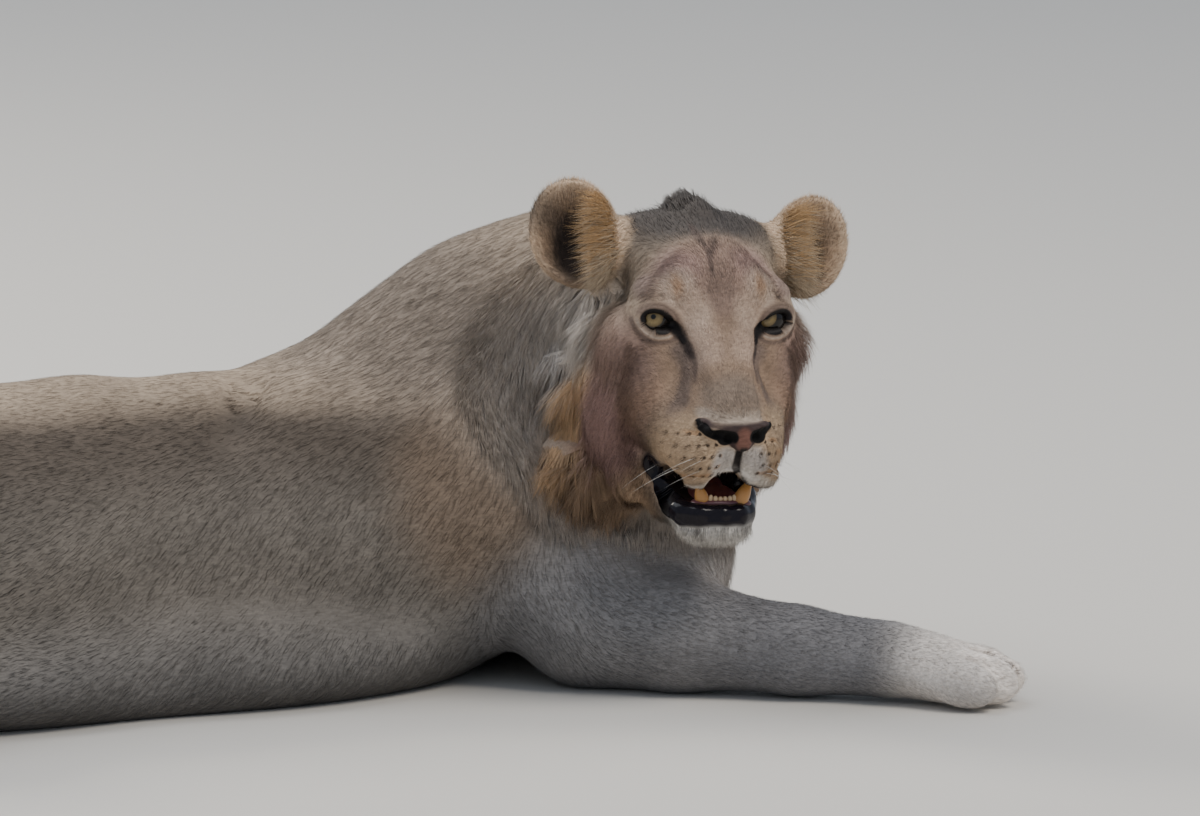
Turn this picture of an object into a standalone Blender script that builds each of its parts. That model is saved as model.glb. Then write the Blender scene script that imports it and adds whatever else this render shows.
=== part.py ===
"""A life-size lion lying on its chest, head turned to its right, as a still museum model.

The whole animal is one smooth body: masses of flesh (eggs and tapered limbs) are joined, remeshed,
settled onto one blended surface and then parted with thin cuts into head, neck, trunk, legs and tail.
Frame: +X forward along the trunk, +Y to the animal's left, +Z up, the floor at Z = 0.
"""

import math

import bmesh
import bpy
import numpy as np
from mathutils import Euler, Matrix, Vector

CM = 0.01

# ---------------------------------------------------------------- driving dimensions, in centimetres
TRUNK_HALF_WIDTH = 19.0
EYE_SPACING = 11.8  # between the middles of the two eyes
EYE_RADIUS = 1.95
HEAD_PLACE = (34.2, -29.5, 38.5)  # midpoint between the eyes
HEAD_YAW, HEAD_PITCH, HEAD_ROLL = -92.0, 0.0, -3.0  # degrees; yaw 0 looks along +X
ROUGH_VOXEL, FINE_VOXEL = 0.8, 0.5  # grain of the two remeshes
BODY_TRIANGLES = 3900
CUT = 0.04  # width of the thin cuts that part the body

BODY_BLEND, HEAD_BLEND, PAW_BLEND, TAIL_BLEND, JOIN_BLEND = 2.2, 0.8, 0.6, 0.25, 1.8

MASSES = {"body": [], "head": [], "paws": [], "tail": []}
DENTS = []
BLENDS = {"body": BODY_BLEND, "head": HEAD_BLEND, "paws": PAW_BLEND, "tail": TAIL_BLEND}

HEAD_FRAME = Matrix.Translation(HEAD_PLACE) @ Euler(
    (math.radians(HEAD_ROLL), math.radians(HEAD_PITCH), math.radians(HEAD_YAW))
).to_matrix().to_4x4()


# ---------------------------------------------------------------- masses and their distance
def egg(group, centre, radii, turn=(0, 0, 0), frame=None):
    """An ellipsoid of flesh: centre and radii in cm, turn in degrees about X, Y and Z."""
    place = Matrix.Translation(centre) @ Euler([math.radians(a) for a in turn]).to_matrix().to_4x4()
    if frame is not None:
        place = frame @ place
    MASSES[group].append(("egg", np.array(place), np.array(radii, float)))


def limb(group, points, radii, side=1.0, frame=None):
    """A tapered limb through points; side widens it sideways, level with the floor."""
    points = [Vector(p) for p in points]
    if frame is not None:
        points = [frame @ p for p in points]
    for a, b, ra, rb in zip(points, points[1:], radii, radii[1:]):
        along = (b - a).normalized()
        across = along.cross(Vector((0, 0, 1)))
        across = across.normalized() if across.length > 0.1 else Vector((0, 1, 0))
        place = Matrix((along, across, along.cross(across))).transposed().to_4x4()
        place.translation = a
        MASSES[group].append(("cone", np.array(place), np.array([(b - a).length, ra, rb, side])))


def smooth_route(points, steps):
    """The same route through points, rounded at its turns."""
    points = [Vector(p) for p in points]
    ends = [2 * points[0] - points[1], *points, 2 * points[-1] - points[-2]]
    route = []
    for a, b, c, d in zip(ends, ends[1:], ends[2:], ends[3:]):
        for i in range(steps):
            t = i / steps
            bend = (2 * a - 5 * b + 4 * c - d) * t * t + (3 * b - a - 3 * c + d) * t**3
            route.append(b + ((c - a) * t + bend) / 2)
    return [*route, points[-1]]


def both(make, group, centre, radii, turn=(0, 0, 0), frame=None):
    """The same egg on the left and on the right."""
    x, y, z = centre
    roll, pitch, yaw = turn
    make(group, (x, y, z), radii, (roll, pitch, yaw), frame)
    make(group, (x, -y, z), radii, (-roll, pitch, -yaw), frame)


def distance(mass, points):
    """How far points lie outside one mass, in cm."""
    kind, place, size = mass
    local = (points - place[:3, 3]) @ place[:3, :3]
    if kind == "egg":
        k0 = np.linalg.norm(local / size, axis=1)
        k1 = np.linalg.norm(local / size**2, axis=1)
        return k0 * (k0 - 1) / np.maximum(k1, 1e-9)
    length, ra, rb, side = size
    local[:, 1] /= side
    t = np.clip(local[:, 0] / length, 0, 1)
    local[:, 0] -= t * length
    return np.linalg.norm(local, axis=1) - (ra + (rb - ra) * t)


def reach(mass):
    kind, place, size = mass
    if kind == "egg":
        return place[:3, 3], size.max()
    length, ra, rb, side = size
    middle = place[:3, 3] + place[:3, 0] * length / 2
    return middle, length / 2 + max(ra, rb) * max(1, side)


def blended(masses, points, k):
    """Smooth union of masses: where two meet, their surfaces flow together over about k."""
    total = np.full(len(points), 1e-30)
    for mass in masses:
        centre, radius = reach(mass)
        near = np.linalg.norm(points - centre, axis=1) < radius + 8 * k
        if near.any():
            total[near] += np.exp(np.clip(-distance(mass, points[near]) / k, -60, 60))
    return -k * np.log(total)


def field(points):
    groups = [blended(MASSES[g], points, BLENDS[g]) for g in MASSES if MASSES[g]]
    low = np.minimum.reduce(groups)
    joined = low - JOIN_BLEND * np.log(sum(np.exp(np.clip((low - g) / JOIN_BLEND, -60, 0)) for g in groups))
    for outer, inner, k in SHELLS:
        shell = [distance(outer, points), -distance(inner, points)]
        high = np.maximum(*shell)
        high = high + k * np.log(sum(np.exp((s - high) / k) for s in shell))
        low = np.minimum(joined, high)
        joined = low - 0.5 * np.log(np.exp((low - joined) / 0.5) + np.exp((low - high) / 0.5))
    for mass, k in DENTS:
        gap = -distance(mass, points)
        high = np.maximum(joined, gap)
        joined = high + k * np.log(np.exp((joined - high) / k) + np.exp((gap - high) / k))
    return joined


SHELLS = []


def dent(centre, radii, turn, frame, k):
    """An egg-shaped hollow pressed into the flesh, its rim rounded over about k."""
    place = frame @ Matrix.Translation(centre) @ Euler([math.radians(a) for a in turn]).to_matrix().to_4x4()
    DENTS.append((("egg", np.array(place), np.array(radii, float)), k))


def shell(outer_centre, outer_radii, shift, inner_radii, turn, frame, k=0.22):
    """A cupped ear: an egg hollowed by a second egg that stands shift cm in front of it."""
    spin = Euler([math.radians(a) for a in turn]).to_matrix().to_4x4()
    outer = frame @ Matrix.Translation(outer_centre) @ spin
    inner = outer @ Matrix.Translation(shift)
    SHELLS.append((
        ("egg", np.array(outer), np.array(outer_radii, float)),
        ("egg", np.array(inner), np.array(inner_radii, float)),
        k,
    ))


# ---------------------------------------------------------------- trunk, neck and tail
def model_trunk():
    egg("body", (-4, 0, 14.5), (29, TRUNK_HALF_WIDTH - 3.0, 13.5))
    egg("body", (-36, 0, 15.0), (30, TRUNK_HALF_WIDTH - 1.0, 14.8))
    egg("body", (-68, 0, 17.0), (23, 14.5, 13.6))
    egg("body", (-81, 0, 16.0), (13, 12.0, 12.5))
    egg("body", (-10, 0, 4.0), (30, 21.5, 8.0))  # belly spread on the floor
    egg("body", (-36, 0, 4.0), (26, 24.0, 7.5))
    spine = [(0, 0, 22.6), (-10, 0, 23.6), (-22, 0, 24.3), (-45, 0, 24.6), (-76, 0, 24.8)]
    limb("body", spine, [5.5, 5.3, 5.2, 5.2, 5.4])
    egg("body", (25, 0, 13.0), (14, 12.5, 12))
    both(egg, "body", (10, 10.0, 16), (14, 7.5, 13), (0, 0, 0))
    both(egg, "body", (5, 6.0, 21), (11, 5.5, 8.5), (0, 25, 0))


def model_neck():
    limb(
        "body",
        [(5, 0, 20.6), (14, 0.5, 25.8), (22, 1, 30.0), (29, -2, 32.8), (33.5, -9, 34.5)],
        [9.8, 11.0, 11.8, 11.6, 10.5],
    )
    egg("body", (33, -10, 22), (11, 10.5, 12), (0, 10, 0))  # throat
    egg("body", (35.5, -8, 11), (8, 12, 10))


def model_tail():
    route = [(-90, 0, 19), (-98, -1, 12), (-103, -5, 4.2), (-106, -14, 2.2), (-103, -26, 2.0)]
    route += [(-93, -34, 1.9), (-80, -37.5, 1.8), (-67, -40, 1.8)]
    route = smooth_route(route, 4)
    limb("tail", route, [4.2 - 2.4 * math.sqrt(i / (len(route) - 1)) for i in range(len(route))])
    egg("tail", (-61, -41, 2.3), (8.5, 3.3, 2.6), (0, 0, -12))  # tuft


# ---------------------------------------------------------------- legs
def paw(wrist, yaw, size=1.0):
    """A paw lying flat: the back of the hand, four toes and the pad under them."""
    frame = Matrix.Translation(wrist) @ Euler((0, 0, math.radians(yaw))).to_matrix().to_4x4()
    s = size
    egg("paws", (2.6 * s, 0, 3.8 * s), (6.4 * s, 4.6 * s, 3.5 * s), (0, 8, 0), frame)
    egg("paws", (7.0 * s, 0, 2.9 * s), (4.6 * s, 5.2 * s, 2.8 * s), (0, 0, 0), frame)
    for spread, forward in ((-4.2, 8.4), (-1.5, 10.2), (1.5, 10.2), (4.2, 8.4)):
        egg("paws", (forward * s, spread * s, 2.7 * s), (3.3 * s, 1.7 * s, 2.4 * s), (0, 10, spread * 2), frame)


def model_forelegs():
    # right foreleg: stretched out along the floor
    limb("body", [(16, -11, 17), (25, -17, 8.0)], [8.0, 5.8])
    limb(
        "paws",
        [(25.5, -17.5, 6.0), (33, -23.0, 5.6), (43, -29.6, 4.6), (50.5, -34.4, 4.1)],
        [6.0, 5.7, 4.5, 3.9],
    )
    paw((51, -34.8, 0), -32)
    # left foreleg: folded, its paw turned in before the chest
    limb("body", [(15, 11, 17), (20, 17, 7.5)], [8.0, 5.6])
    limb("paws", [(20.5, 18.0, 5.6), (31, 16.5, 5.0), (39, 13.0, 4.3)], [5.6, 4.8, 4.0])
    paw((40, 10.5, 0), -108, 0.92)


def model_hind_legs():
    for side in (-1, 1):
        egg("body", (-63, side * 15.5, 15.5), (20, 7.5, 13.0), (0, -12, side * 4))
        egg("body", (-50, side * 20.5, 10.5), (9, 5.6, 8.0))
        limb("body", [(-51, side * 21.5, 8.5), (-77, side * 19.5, 6)], [5.4, 4.0])
        limb("paws", [(-81, side * 19.5, 5.2), (-77, side * 20.5, 4.2), (-58, side * 25.0, 3.9)], [3.6, 3.7, 3.5])
        paw((-58.5, side * 25.0, 0), side * 12, 0.92)


# ---------------------------------------------------------------- head
def model_head():
    h = HEAD_FRAME

    def one(centre, radii, turn=(0, 0, 0)):
        egg("head", centre, radii, turn, h)

    def pair(centre, radii, turn=(0, 0, 0)):
        both(egg, "head", centre, radii, turn, h)

    one((-8.5, 0, 2.6), (10.0, 8.2, 7.4))  # skull
    pair((-9.0, 4.6, 5.4), (6.0, 4.4, 4.0))
    one((-3.2, 0, 1.8), (4.8, 6.8, 4.6))  # forehead
    pair((-1.1, 5.0, 2.6), (2.3, 3.2, 1.5), (0, 0, 14))  # brows
    pair((-1.4, 5.6, 0.2), (2.2, 3.2, 2.6))  # lids
    one((-0.2, 0, 0.2), (2.8, 3.4, 3.2), (0, -20, 0))  # root of the nose
    pair((1.8, 1.5, -2.9), (2.8, 2.0, 3.0), (0, 40, 0))  # broad flat bridge
    pair((4.4, 1.5, -5.9), (2.8, 1.9, 2.6), (0, 40, 0))
    one((6.8, 0, -8.0), (2.0, 2.7, 1.8), (0, 35, 0))
    one((8.0, 0, -9.4), (1.1, 2.3, 1.2))  # nose pad
    one((2.4, 0, -8.8), (5.4, 4.6, 4.8))  # upper jaw
    pair((5.4, 2.9, -12.4), (3.2, 2.8, 2.9), (0, 6, 8))  # whisker pads
    pair((0.8, 4.5, -10.6), (4.6, 2.3, 3.6), (0, 0, 8))  # upper lips towards the corner
    pair((-2.6, 6.0, -7.4), (5.0, 3.0, 5.0), (0, 0, 14))  # cheek beside the muzzle
    pair((-1.4, 4.9, -3.8), (3.0, 2.9, 2.8))  # below the eyes
    pair((-5.0, 7.6, -3.0), (5.4, 3.6, 4.6), (0, 0, 14))  # cheekbones
    pair((-7.0, 7.0, -9.4), (5.8, 3.6, 6.4), (0, 0, 8))  # jaw muscles
    one((3.9, 0, -19.7), (2.8, 3.0, 1.9))  # chin
    for side in (-1, 1):  # lower jaw
        limb("head", [(3.4, side * 2.0, -19.4), (-2.0, side * 3.2, -18.2), (-8, side * 5.0, -14.0)], [1.8, 1.8, 2.8], 1.0, h)
    pair((-6.2, 5.6, -14.6), (4.2, 3.4, 5.2))  # cheek behind the corner of the mouth
    one((-0.5, 0, -18.4), (4.6, 2.8, 1.6))  # floor of the mouth
    one((-9.0, 0, -13.0), (7.6, 6.3, 6.0))  # throat under the jaw
    pair((-10.0, 8.8, -7.0), (4.4, 2.8, 9.0), (0, -14, 8))  # cheek ruff
    one((-15.0, 0, -6.0), (8.0, 10.5, 12.0))  # nape, sunk in the neck
    one((-9.0, 0, 9.6), (4.0, 2.0, 1.8))  # crest of hair on the crown
    # ears: the right one stands, the left one leans outward
    shell((-9.0, -12.0, 7.2), (3.0, 4.7, 5.6), (1.7, 0, 0.4), (2.5, 4.0, 4.9), (18, -6, -30), h)
    shell((-9.0, 12.6, 5.8), (3.0, 4.9, 5.6), (1.7, 0, 0.4), (2.5, 4.2, 4.9), (-46, -6, 20), h)
    pair((-8.8, 9.0, 4.2), (2.8, 2.8, 2.8))  # ear roots
    for side in (-1, 1):
        dent((1.5, side * 6.0, -0.1), (2.1, 1.6, 1.0), (0, 0, side * 12), h, 0.5)
    dent((5.0, 0, -16.5), (7.4, 5.2, 1.5), (0, 8, 0), h, 0.4)


def eye_place(side):
    return HEAD_FRAME @ Vector((-0.9, side * EYE_SPACING / 2, 0))


# ---------------------------------------------------------------- from masses to one closed mesh
def spheres_object(name, places, segments=24):
    """One object holding a sphere at each (matrix, radii) of the list."""
    bm = bmesh.new()
    bmesh.ops.create_uvsphere(bm, u_segments=segments, v_segments=segments // 2, radius=1)
    ball = bpy.data.meshes.new("ball")
    bm.to_mesh(ball)
    bm.clear()
    for matrix, radii in places:
        copy = ball.copy()
        copy.transform(Matrix(matrix) @ Matrix.Diagonal((*radii, 1)))
        bm.from_mesh(copy)
        bpy.data.meshes.remove(copy)
    bpy.data.meshes.remove(ball)
    return linked_object(name, bm)


def linked_object(name, bm):
    mesh = bpy.data.meshes.new(name)
    bm.to_mesh(mesh)
    bm.free()
    obj = bpy.data.objects.new(name, mesh)
    bpy.context.scene.collection.objects.link(obj)
    return obj


def evaluated_copy(obj, name):
    """A new mesh with the object's modifiers applied; the old object is removed."""
    graph = bpy.context.evaluated_depsgraph_get()
    mesh = bpy.data.meshes.new_from_object(obj.evaluated_get(graph))
    mesh.name = name
    bpy.data.objects.remove(obj)
    made = bpy.data.objects.new(name, mesh)
    bpy.context.scene.collection.objects.link(made)
    return made


def cut_by(obj, cutters, operation="DIFFERENCE"):
    """obj with the cutters taken away (or kept, or added); the cutters go."""
    for cutter in cutters:
        cutter.hide_render = True
        cutter.display_type = "WIRE"
        modifier = obj.modifiers.new("cut", "BOOLEAN")
        modifier.operation = operation
        modifier.solver = "EXACT"
        modifier.object = cutter
    made = evaluated_copy(obj, obj.name)
    for cutter in cutters:
        bpy.data.objects.remove(cutter)
    return made


def voxel_remesh(obj, voxel):
    remesh = obj.modifiers.new("remesh", "REMESH")
    remesh.mode = "VOXEL"
    remesh.voxel_size = voxel
    return evaluated_copy(obj, obj.name)


def rough_union(voxel):
    """Spheres along every mass, joined by a voxel remesh: the right topology, roughly the right shape."""
    places = []
    for masses in MASSES.values():
        for kind, place, size in masses:
            if kind == "egg":
                places.append((place, size))
                continue
            length, ra, rb, side = size
            steps = max(2, math.ceil(length / (0.3 * min(ra, rb))))
            for i in range(steps + 1):
                r = ra + (rb - ra) * i / steps
                along = Matrix.Translation((i / steps * length, 0, 0))
                places.append((Matrix(place) @ along, (r, r * side, r)))
    lion = spheres_object("lion", places)
    for outer, inner, _ in SHELLS:
        cup = cut_by(spheres_object("cup", [outer[1:]], 48), [spheres_object("hollow", [inner[1:]], 48)])
        lion = joined(lion, cup)
    return voxel_remesh(lion, voxel)


def joined(first, second):
    bm = bmesh.new()
    bm.from_mesh(first.data)
    bm.from_mesh(second.data)
    bm.to_mesh(first.data)
    bm.free()
    bpy.data.objects.remove(second)
    return first


def relax(points, ends, amount):
    """Moves each point towards the mean of its neighbours."""
    a, b = ends[:, 0], ends[:, 1]
    count = np.bincount(a, minlength=len(points)) + np.bincount(b, minlength=len(points))
    mean = np.empty_like(points)
    for axis in range(3):
        near = np.bincount(a, weights=points[b, axis], minlength=len(points))
        near += np.bincount(b, weights=points[a, axis], minlength=len(points))
        mean[:, axis] = near / np.maximum(count, 1)
    return points + amount * (mean - points)


def settle(obj, rounds=2, step=0.05):
    """Moves every vertex onto the blended surface of the masses, where field() is zero."""
    mesh = obj.data
    points = np.empty(len(mesh.vertices) * 3)
    mesh.vertices.foreach_get("co", points)
    points = points.reshape(-1, 3)
    ends = np.empty(len(mesh.edges) * 2, np.int64)
    mesh.edges.foreach_get("vertices", ends)
    ends = ends.reshape(-1, 2)
    for turn in range(rounds):
        points = relax(points, ends, 0.5)
        for _ in range(2):
            here = field(points)
            slope = np.stack([field(points + step * axis) for axis in np.eye(3)], axis=1) - here[:, None]
            slope /= step
            size = np.maximum((slope**2).sum(axis=1), 0.25)
            points = points - np.clip(here / size, -1.5, 1.5)[:, None] * slope
    mesh.vertices.foreach_set("co", points.ravel())
    mesh.update()


def thinned(obj, triangles):
    """Fewer triangles, the head keeping more of its own."""
    group = obj.vertex_groups.new(name="plain")
    face = HEAD_FRAME @ Vector((0, 0, -5))
    points = np.empty(len(obj.data.vertices) * 3)
    obj.data.vertices.foreach_get("co", points)
    away = np.linalg.norm(points.reshape(-1, 3) - np.array(face), axis=1)
    weights = np.clip((away - 12.0) / 10.0, 0.0, 1.0) ** 2 * 0.96 + 0.04
    for level in np.unique(np.round(weights, 2)):
        group.add([int(i) for i in np.flatnonzero(np.round(weights, 2) == level)], float(level), "REPLACE")
    modifier = obj.modifiers.new("thin", "DECIMATE")
    modifier.vertex_group = "plain"
    modifier.vertex_group_factor = 1.0
    modifier.ratio = triangles / (2 * len(obj.data.polygons))
    modifier.use_collapse_triangulate = True
    return evaluated_copy(obj, obj.name)


# ---------------------------------------------------------------- parting the body into its nodes
def box_region(frame, low, high, grow):
    """A box between two corners of a frame, grown on every side by grow."""
    bm = bmesh.new()
    size = [h - l + 2 * grow for l, h in zip(low, high)]
    middle = [(h + l) / 2 for l, h in zip(low, high)]
    bmesh.ops.create_cube(bm, size=1, matrix=frame @ Matrix.Translation(middle) @ Matrix.Diagonal((*size, 1)))
    return linked_object("region", bm)


def facing(point, yaw=0.0, pitch=0.0):
    """A frame at point, its X turned by yaw about Z and then raised by pitch."""
    turn = Euler((0, -math.radians(pitch), math.radians(yaw))).to_matrix().to_4x4()
    return Matrix.Translation(point) @ turn


def part_off(rest, name, region):
    """Takes what lies in the region out of rest: returns the new node and the rest, CUT apart."""
    taken = bpy.data.objects.new(name, rest.data.copy())
    bpy.context.scene.collection.objects.link(taken)
    node = cut_by(taken, [region(0.0)], "INTERSECT")
    return node, cut_by(rest, [region(CUT)])


def egg_region(frame, radii):
    return lambda grow: spheres_object("region", [(frame, [r + grow for r in radii])], 12)


def corner_region(frame, low, high):
    return lambda grow: box_region(frame, low, high, grow)


def regions():
    """Every node's share of the body, in the order in which they are parted off."""
    h = HEAD_FRAME
    mouth = h @ Matrix.Translation((5.0, 0, -16.5)) @ Euler((0, math.radians(8), 0)).to_matrix().to_4x4()
    nape = h @ facing((-11.0, 0, -8.5), 0, 26)
    shoulder = Euler((0, 0, math.radians(-30))).to_matrix().to_4x4()
    places = [
        ("ear_right", egg_region(h @ Matrix.Translation((-9.0, -12.6, 8.4)), (6.6, 6.6, 6.6))),
        ("ear_left", egg_region(h @ Matrix.Translation((-9.0, 13.4, 6.8)), (6.6, 6.6, 6.6))),
        ("jaw", corner_region(mouth, (-8.0, -9, -10), (14, 9, 0))),
        ("head", corner_region(nape, (0, -17, -18), (40, 22, 40))),
        ("forepaw_right", corner_region(facing((51.0, -34.8, 0), -32), (0, -12, -5), (25, 12, 15))),
        ("forearm_right", corner_region(facing((35.5, -24.8, 0), -35), (0, -9, -5), (25, 5.6, 12.5))),
        ("foreleg_right", egg_region(Matrix.Translation((20, -17, 9)) @ shoulder, (18, 10, 13))),
        ("forepaw_left", egg_region(Matrix.Translation((38.5, 5.5, 1.0)), (9.5, 11.0, 8.5))),
        ("foreleg_left", egg_region(Matrix.Translation((27.5, 17, 7)), (19, 11, 12))),
        ("tail_tuft", corner_region(Matrix.Identity(4), (-71, -52, -5), (-45, -33.5, 10))),
        ("tail_middle", corner_region(Matrix.Identity(4), (-125, -52, -5), (-71 - CUT, -30.5, 10))),
        ("tail_base", corner_region(facing((-94.5, 0, 15), 180, 35), (0, -45, -30), (40, 25, 20))),
    ]
    for side, word in ((-1, "right"), (1, "left")):
        paw_place = facing((-60.0, side * 25.0, 0), side * 12)
        places.append(("hindpaw_" + word, corner_region(paw_place, (0, -7.5, -5), (16, 7.5, 8.5))))
        thigh = Matrix.Translation((-64, side * 22.5, 11))
        places.append(("hindleg_" + word, egg_region(thigh, (23, 11.0, 17))))
    places += [
        ("neck", corner_region(facing((16, 0, 23.0), 0, 44), (0, -40, -45), (60, 40, 45))),
        ("chest", corner_region(Matrix.Identity(4), (-18, -50, -5), (80, 50, 60))),
        ("belly", corner_region(Matrix.Identity(4), (-52, -50, -5), (-18 - CUT, 50, 60))),
    ]
    return places


def part_body(body):
    nodes = []
    for name, region in regions():
        node, body = part_off(body, name, region)
        nodes.append(node)
    body.name = "rump"
    return nodes + [body]


def gathered(parts):
    """Several closed solids fused into the first."""
    return cut_by(parts[0], parts[1:], "UNION")


def fill_mouth(jaw):
    """The tongue and the lower front teeth, grown together with the jaw."""
    tongue = spheres_object("tongue", [(HEAD_FRAME @ facing((1.7, 0, -17.9), 0, -8), (4.2, 2.1, 0.95))], 12)
    teeth = []
    for side in (-1, 1):
        teeth.append(((5.0, side * 1.7, -17.75), (0.5, 0.48, 1.25)))
        for spread in (0.3, 0.88):
            teeth.append(((5.4, side * spread, -17.9), (0.26, 0.27, 0.75)))
    crowns = [spheres_object("tooth", [(HEAD_FRAME @ Matrix.Translation(at), size)], 6) for at, size in teeth]
    return gathered([jaw, tongue, *crowns])


def make_eyes(head):
    eyes = []
    sockets = []
    for side, word in ((-1, "right"), (1, "left")):
        place = Matrix.Translation(eye_place(side)) @ HEAD_FRAME.to_quaternion().to_matrix().to_4x4()
        upright = place @ Euler((0, math.radians(90), 0)).to_matrix().to_4x4()
        eyes.append(spheres_object("eye_" + word, [(upright, [EYE_RADIUS] * 3)], 16))
        sockets.append(spheres_object("socket", [(upright, [EYE_RADIUS + CUT] * 3)], 16))
    return eyes, cut_by(head, sockets)


# ---------------------------------------------------------------- coats, placing and naming
COATS = {
    "back": (0.36, 0.25, 0.15),
    "flank": (0.40, 0.30, 0.20),
    "ruff": (0.43, 0.33, 0.23),
    "face": (0.38, 0.27, 0.19),
    "chin": (0.62, 0.55, 0.46),
    "leg": (0.45, 0.36, 0.26),
    "paw": (0.58, 0.48, 0.36),
    "ear": (0.40, 0.26, 0.14),
    "tuft": (0.07, 0.045, 0.03),
    "eye": (0.30, 0.20, 0.06),
}
COAT_OF = {
    "head": "face", "jaw": "chin", "neck": "ruff", "chest": "flank", "belly": "flank", "rump": "back",
    "tail_base": "back", "tail_middle": "leg", "tail_tuft": "tuft",
}
COAT_OF_KIND = {"ear": "ear", "eye": "eye", "foreleg": "leg", "forearm": "leg", "hindleg": "leg",
                "forepaw": "paw", "hindpaw": "paw"}


def coat_material(name, coat):
    material = bpy.data.materials.new(name + "_" + coat)
    material.use_nodes = True
    principled = material.node_tree.nodes["Principled BSDF"]
    principled.inputs["Base Color"].default_value = (*COATS[coat], 1)
    principled.inputs["Roughness"].default_value = 0.08 if coat == "eye" else 0.85
    principled.inputs["Metallic"].default_value = 0.0
    return material


def place_node(node, collection, lion, shift):
    """Brings a node to metres, gives it its own origin and coat, and hangs it from the lion."""
    points = np.empty(len(node.data.vertices) * 3)
    node.data.vertices.foreach_get("co", points)
    points = (points.reshape(-1, 3) + shift) * CM
    middle = (points.min(axis=0) + points.max(axis=0)) / 2
    node.data.vertices.foreach_set("co", (points - middle).ravel())
    node.data.update()
    node.data.name = node.name
    kind = node.name.split("_")[0]
    coat = COAT_OF.get(node.name) or COAT_OF_KIND[kind]
    node.data.materials.clear()
    node.data.materials.append(coat_material(node.name, coat))
    node.data.polygons.foreach_set("use_smooth", [kind == "eye"] * len(node.data.polygons))
    bpy.context.scene.collection.objects.unlink(node)
    collection.objects.link(node)
    node.parent = lion
    node.location = middle


def main():
    for obj in list(bpy.data.objects):
        bpy.data.objects.remove(obj)
    model_trunk()
    model_neck()
    model_tail()
    model_forelegs()
    model_hind_legs()
    model_head()
    body = rough_union(ROUGH_VOXEL)
    settle(body)
    body = voxel_remesh(body, FINE_VOXEL)
    settle(body)
    body = thinned(body, BODY_TRIANGLES)
    body = cut_by(body, [box_region(Matrix.Identity(4), (-200, -100, -50), (100, 100, 0), 0)])
    nodes = {node.name: node for node in part_body(body)}
    nodes["jaw"] = fill_mouth(nodes["jaw"])
    eyes, nodes["head"] = make_eyes(nodes["head"])
    nodes.update({eye.name: eye for eye in eyes})

    collection = bpy.data.collections.new("lion")
    bpy.context.scene.collection.children.link(collection)
    lion = bpy.data.objects.new("lion", None)
    collection.objects.link(lion)
    corners = [np.array(v.co) for node in nodes.values() for v in node.data.vertices]
    low, high = np.min(corners, axis=0), np.max(corners, axis=0)
    shift = np.array([-(low[0] + high[0]) / 2, -(low[1] + high[1]) / 2, 0.0])
    for node in nodes.values():
        place_node(node, collection, lion, shift)


main()
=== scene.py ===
import math

import bmesh
import bpy
import numpy as np
from mathutils import Euler, Matrix, Vector


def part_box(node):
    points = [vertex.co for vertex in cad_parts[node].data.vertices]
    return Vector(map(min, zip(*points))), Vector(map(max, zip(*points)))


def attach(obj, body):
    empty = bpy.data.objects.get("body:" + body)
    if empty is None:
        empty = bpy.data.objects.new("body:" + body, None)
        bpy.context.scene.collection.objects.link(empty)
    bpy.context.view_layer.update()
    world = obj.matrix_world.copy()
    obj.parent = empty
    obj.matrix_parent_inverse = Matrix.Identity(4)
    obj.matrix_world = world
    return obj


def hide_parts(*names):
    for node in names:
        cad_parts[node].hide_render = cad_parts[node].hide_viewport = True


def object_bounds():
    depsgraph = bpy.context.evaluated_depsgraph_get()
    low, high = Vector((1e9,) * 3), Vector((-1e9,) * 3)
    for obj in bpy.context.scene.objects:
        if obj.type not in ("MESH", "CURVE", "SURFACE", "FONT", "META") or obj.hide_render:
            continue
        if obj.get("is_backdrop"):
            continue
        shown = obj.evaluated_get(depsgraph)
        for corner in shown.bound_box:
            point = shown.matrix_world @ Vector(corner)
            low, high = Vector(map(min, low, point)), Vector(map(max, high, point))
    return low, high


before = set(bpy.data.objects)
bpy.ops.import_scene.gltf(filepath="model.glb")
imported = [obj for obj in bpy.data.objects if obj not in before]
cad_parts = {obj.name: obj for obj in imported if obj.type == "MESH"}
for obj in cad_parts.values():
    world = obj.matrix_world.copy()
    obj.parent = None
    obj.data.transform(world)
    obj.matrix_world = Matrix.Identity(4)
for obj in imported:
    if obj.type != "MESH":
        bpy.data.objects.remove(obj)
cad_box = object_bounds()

CM = 0.01

# ---------------------------------------------------------------- where the lion lies
# The model lies on the floor with its chest towards +X and its face towards -Y. Body places below are
# centimetres from the floor under the withers, head places centimetres from between the eyes:
# x forward out of the face, y to the animal's left, z up. Both are found from the two eyes.
EYE_SET_BACK = 0.9
HEAD_IN_BODY = Vector((34.2, -29.5, 38.5))


def middle(node):
    low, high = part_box(node)
    return (Vector(low) + Vector(high)) / 2


eye_right, eye_left = middle("eye_right"), middle("eye_left")
to_left = (eye_left - eye_right).normalized()
forward = to_left.cross(Vector((0, 0, 1))).normalized()
face_up = forward.cross(to_left)
HEAD = Matrix((forward, to_left, face_up)).transposed().to_4x4()
HEAD.translation = (eye_left + eye_right) / 2 / CM + forward * EYE_SET_BACK
BODY = Matrix.Translation(HEAD.translation - HEAD_IN_BODY)
TO_HEAD = np.array(HEAD.inverted())
TO_BODY = np.array(BODY.inverted())


def turned(roll=0, pitch=0, yaw=0):
    return Euler((math.radians(roll), math.radians(pitch), math.radians(yaw))).to_matrix().to_4x4()


def seen_from(matrix, points):
    return points @ matrix[:3, :3].T + matrix[:3, 3]


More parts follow.
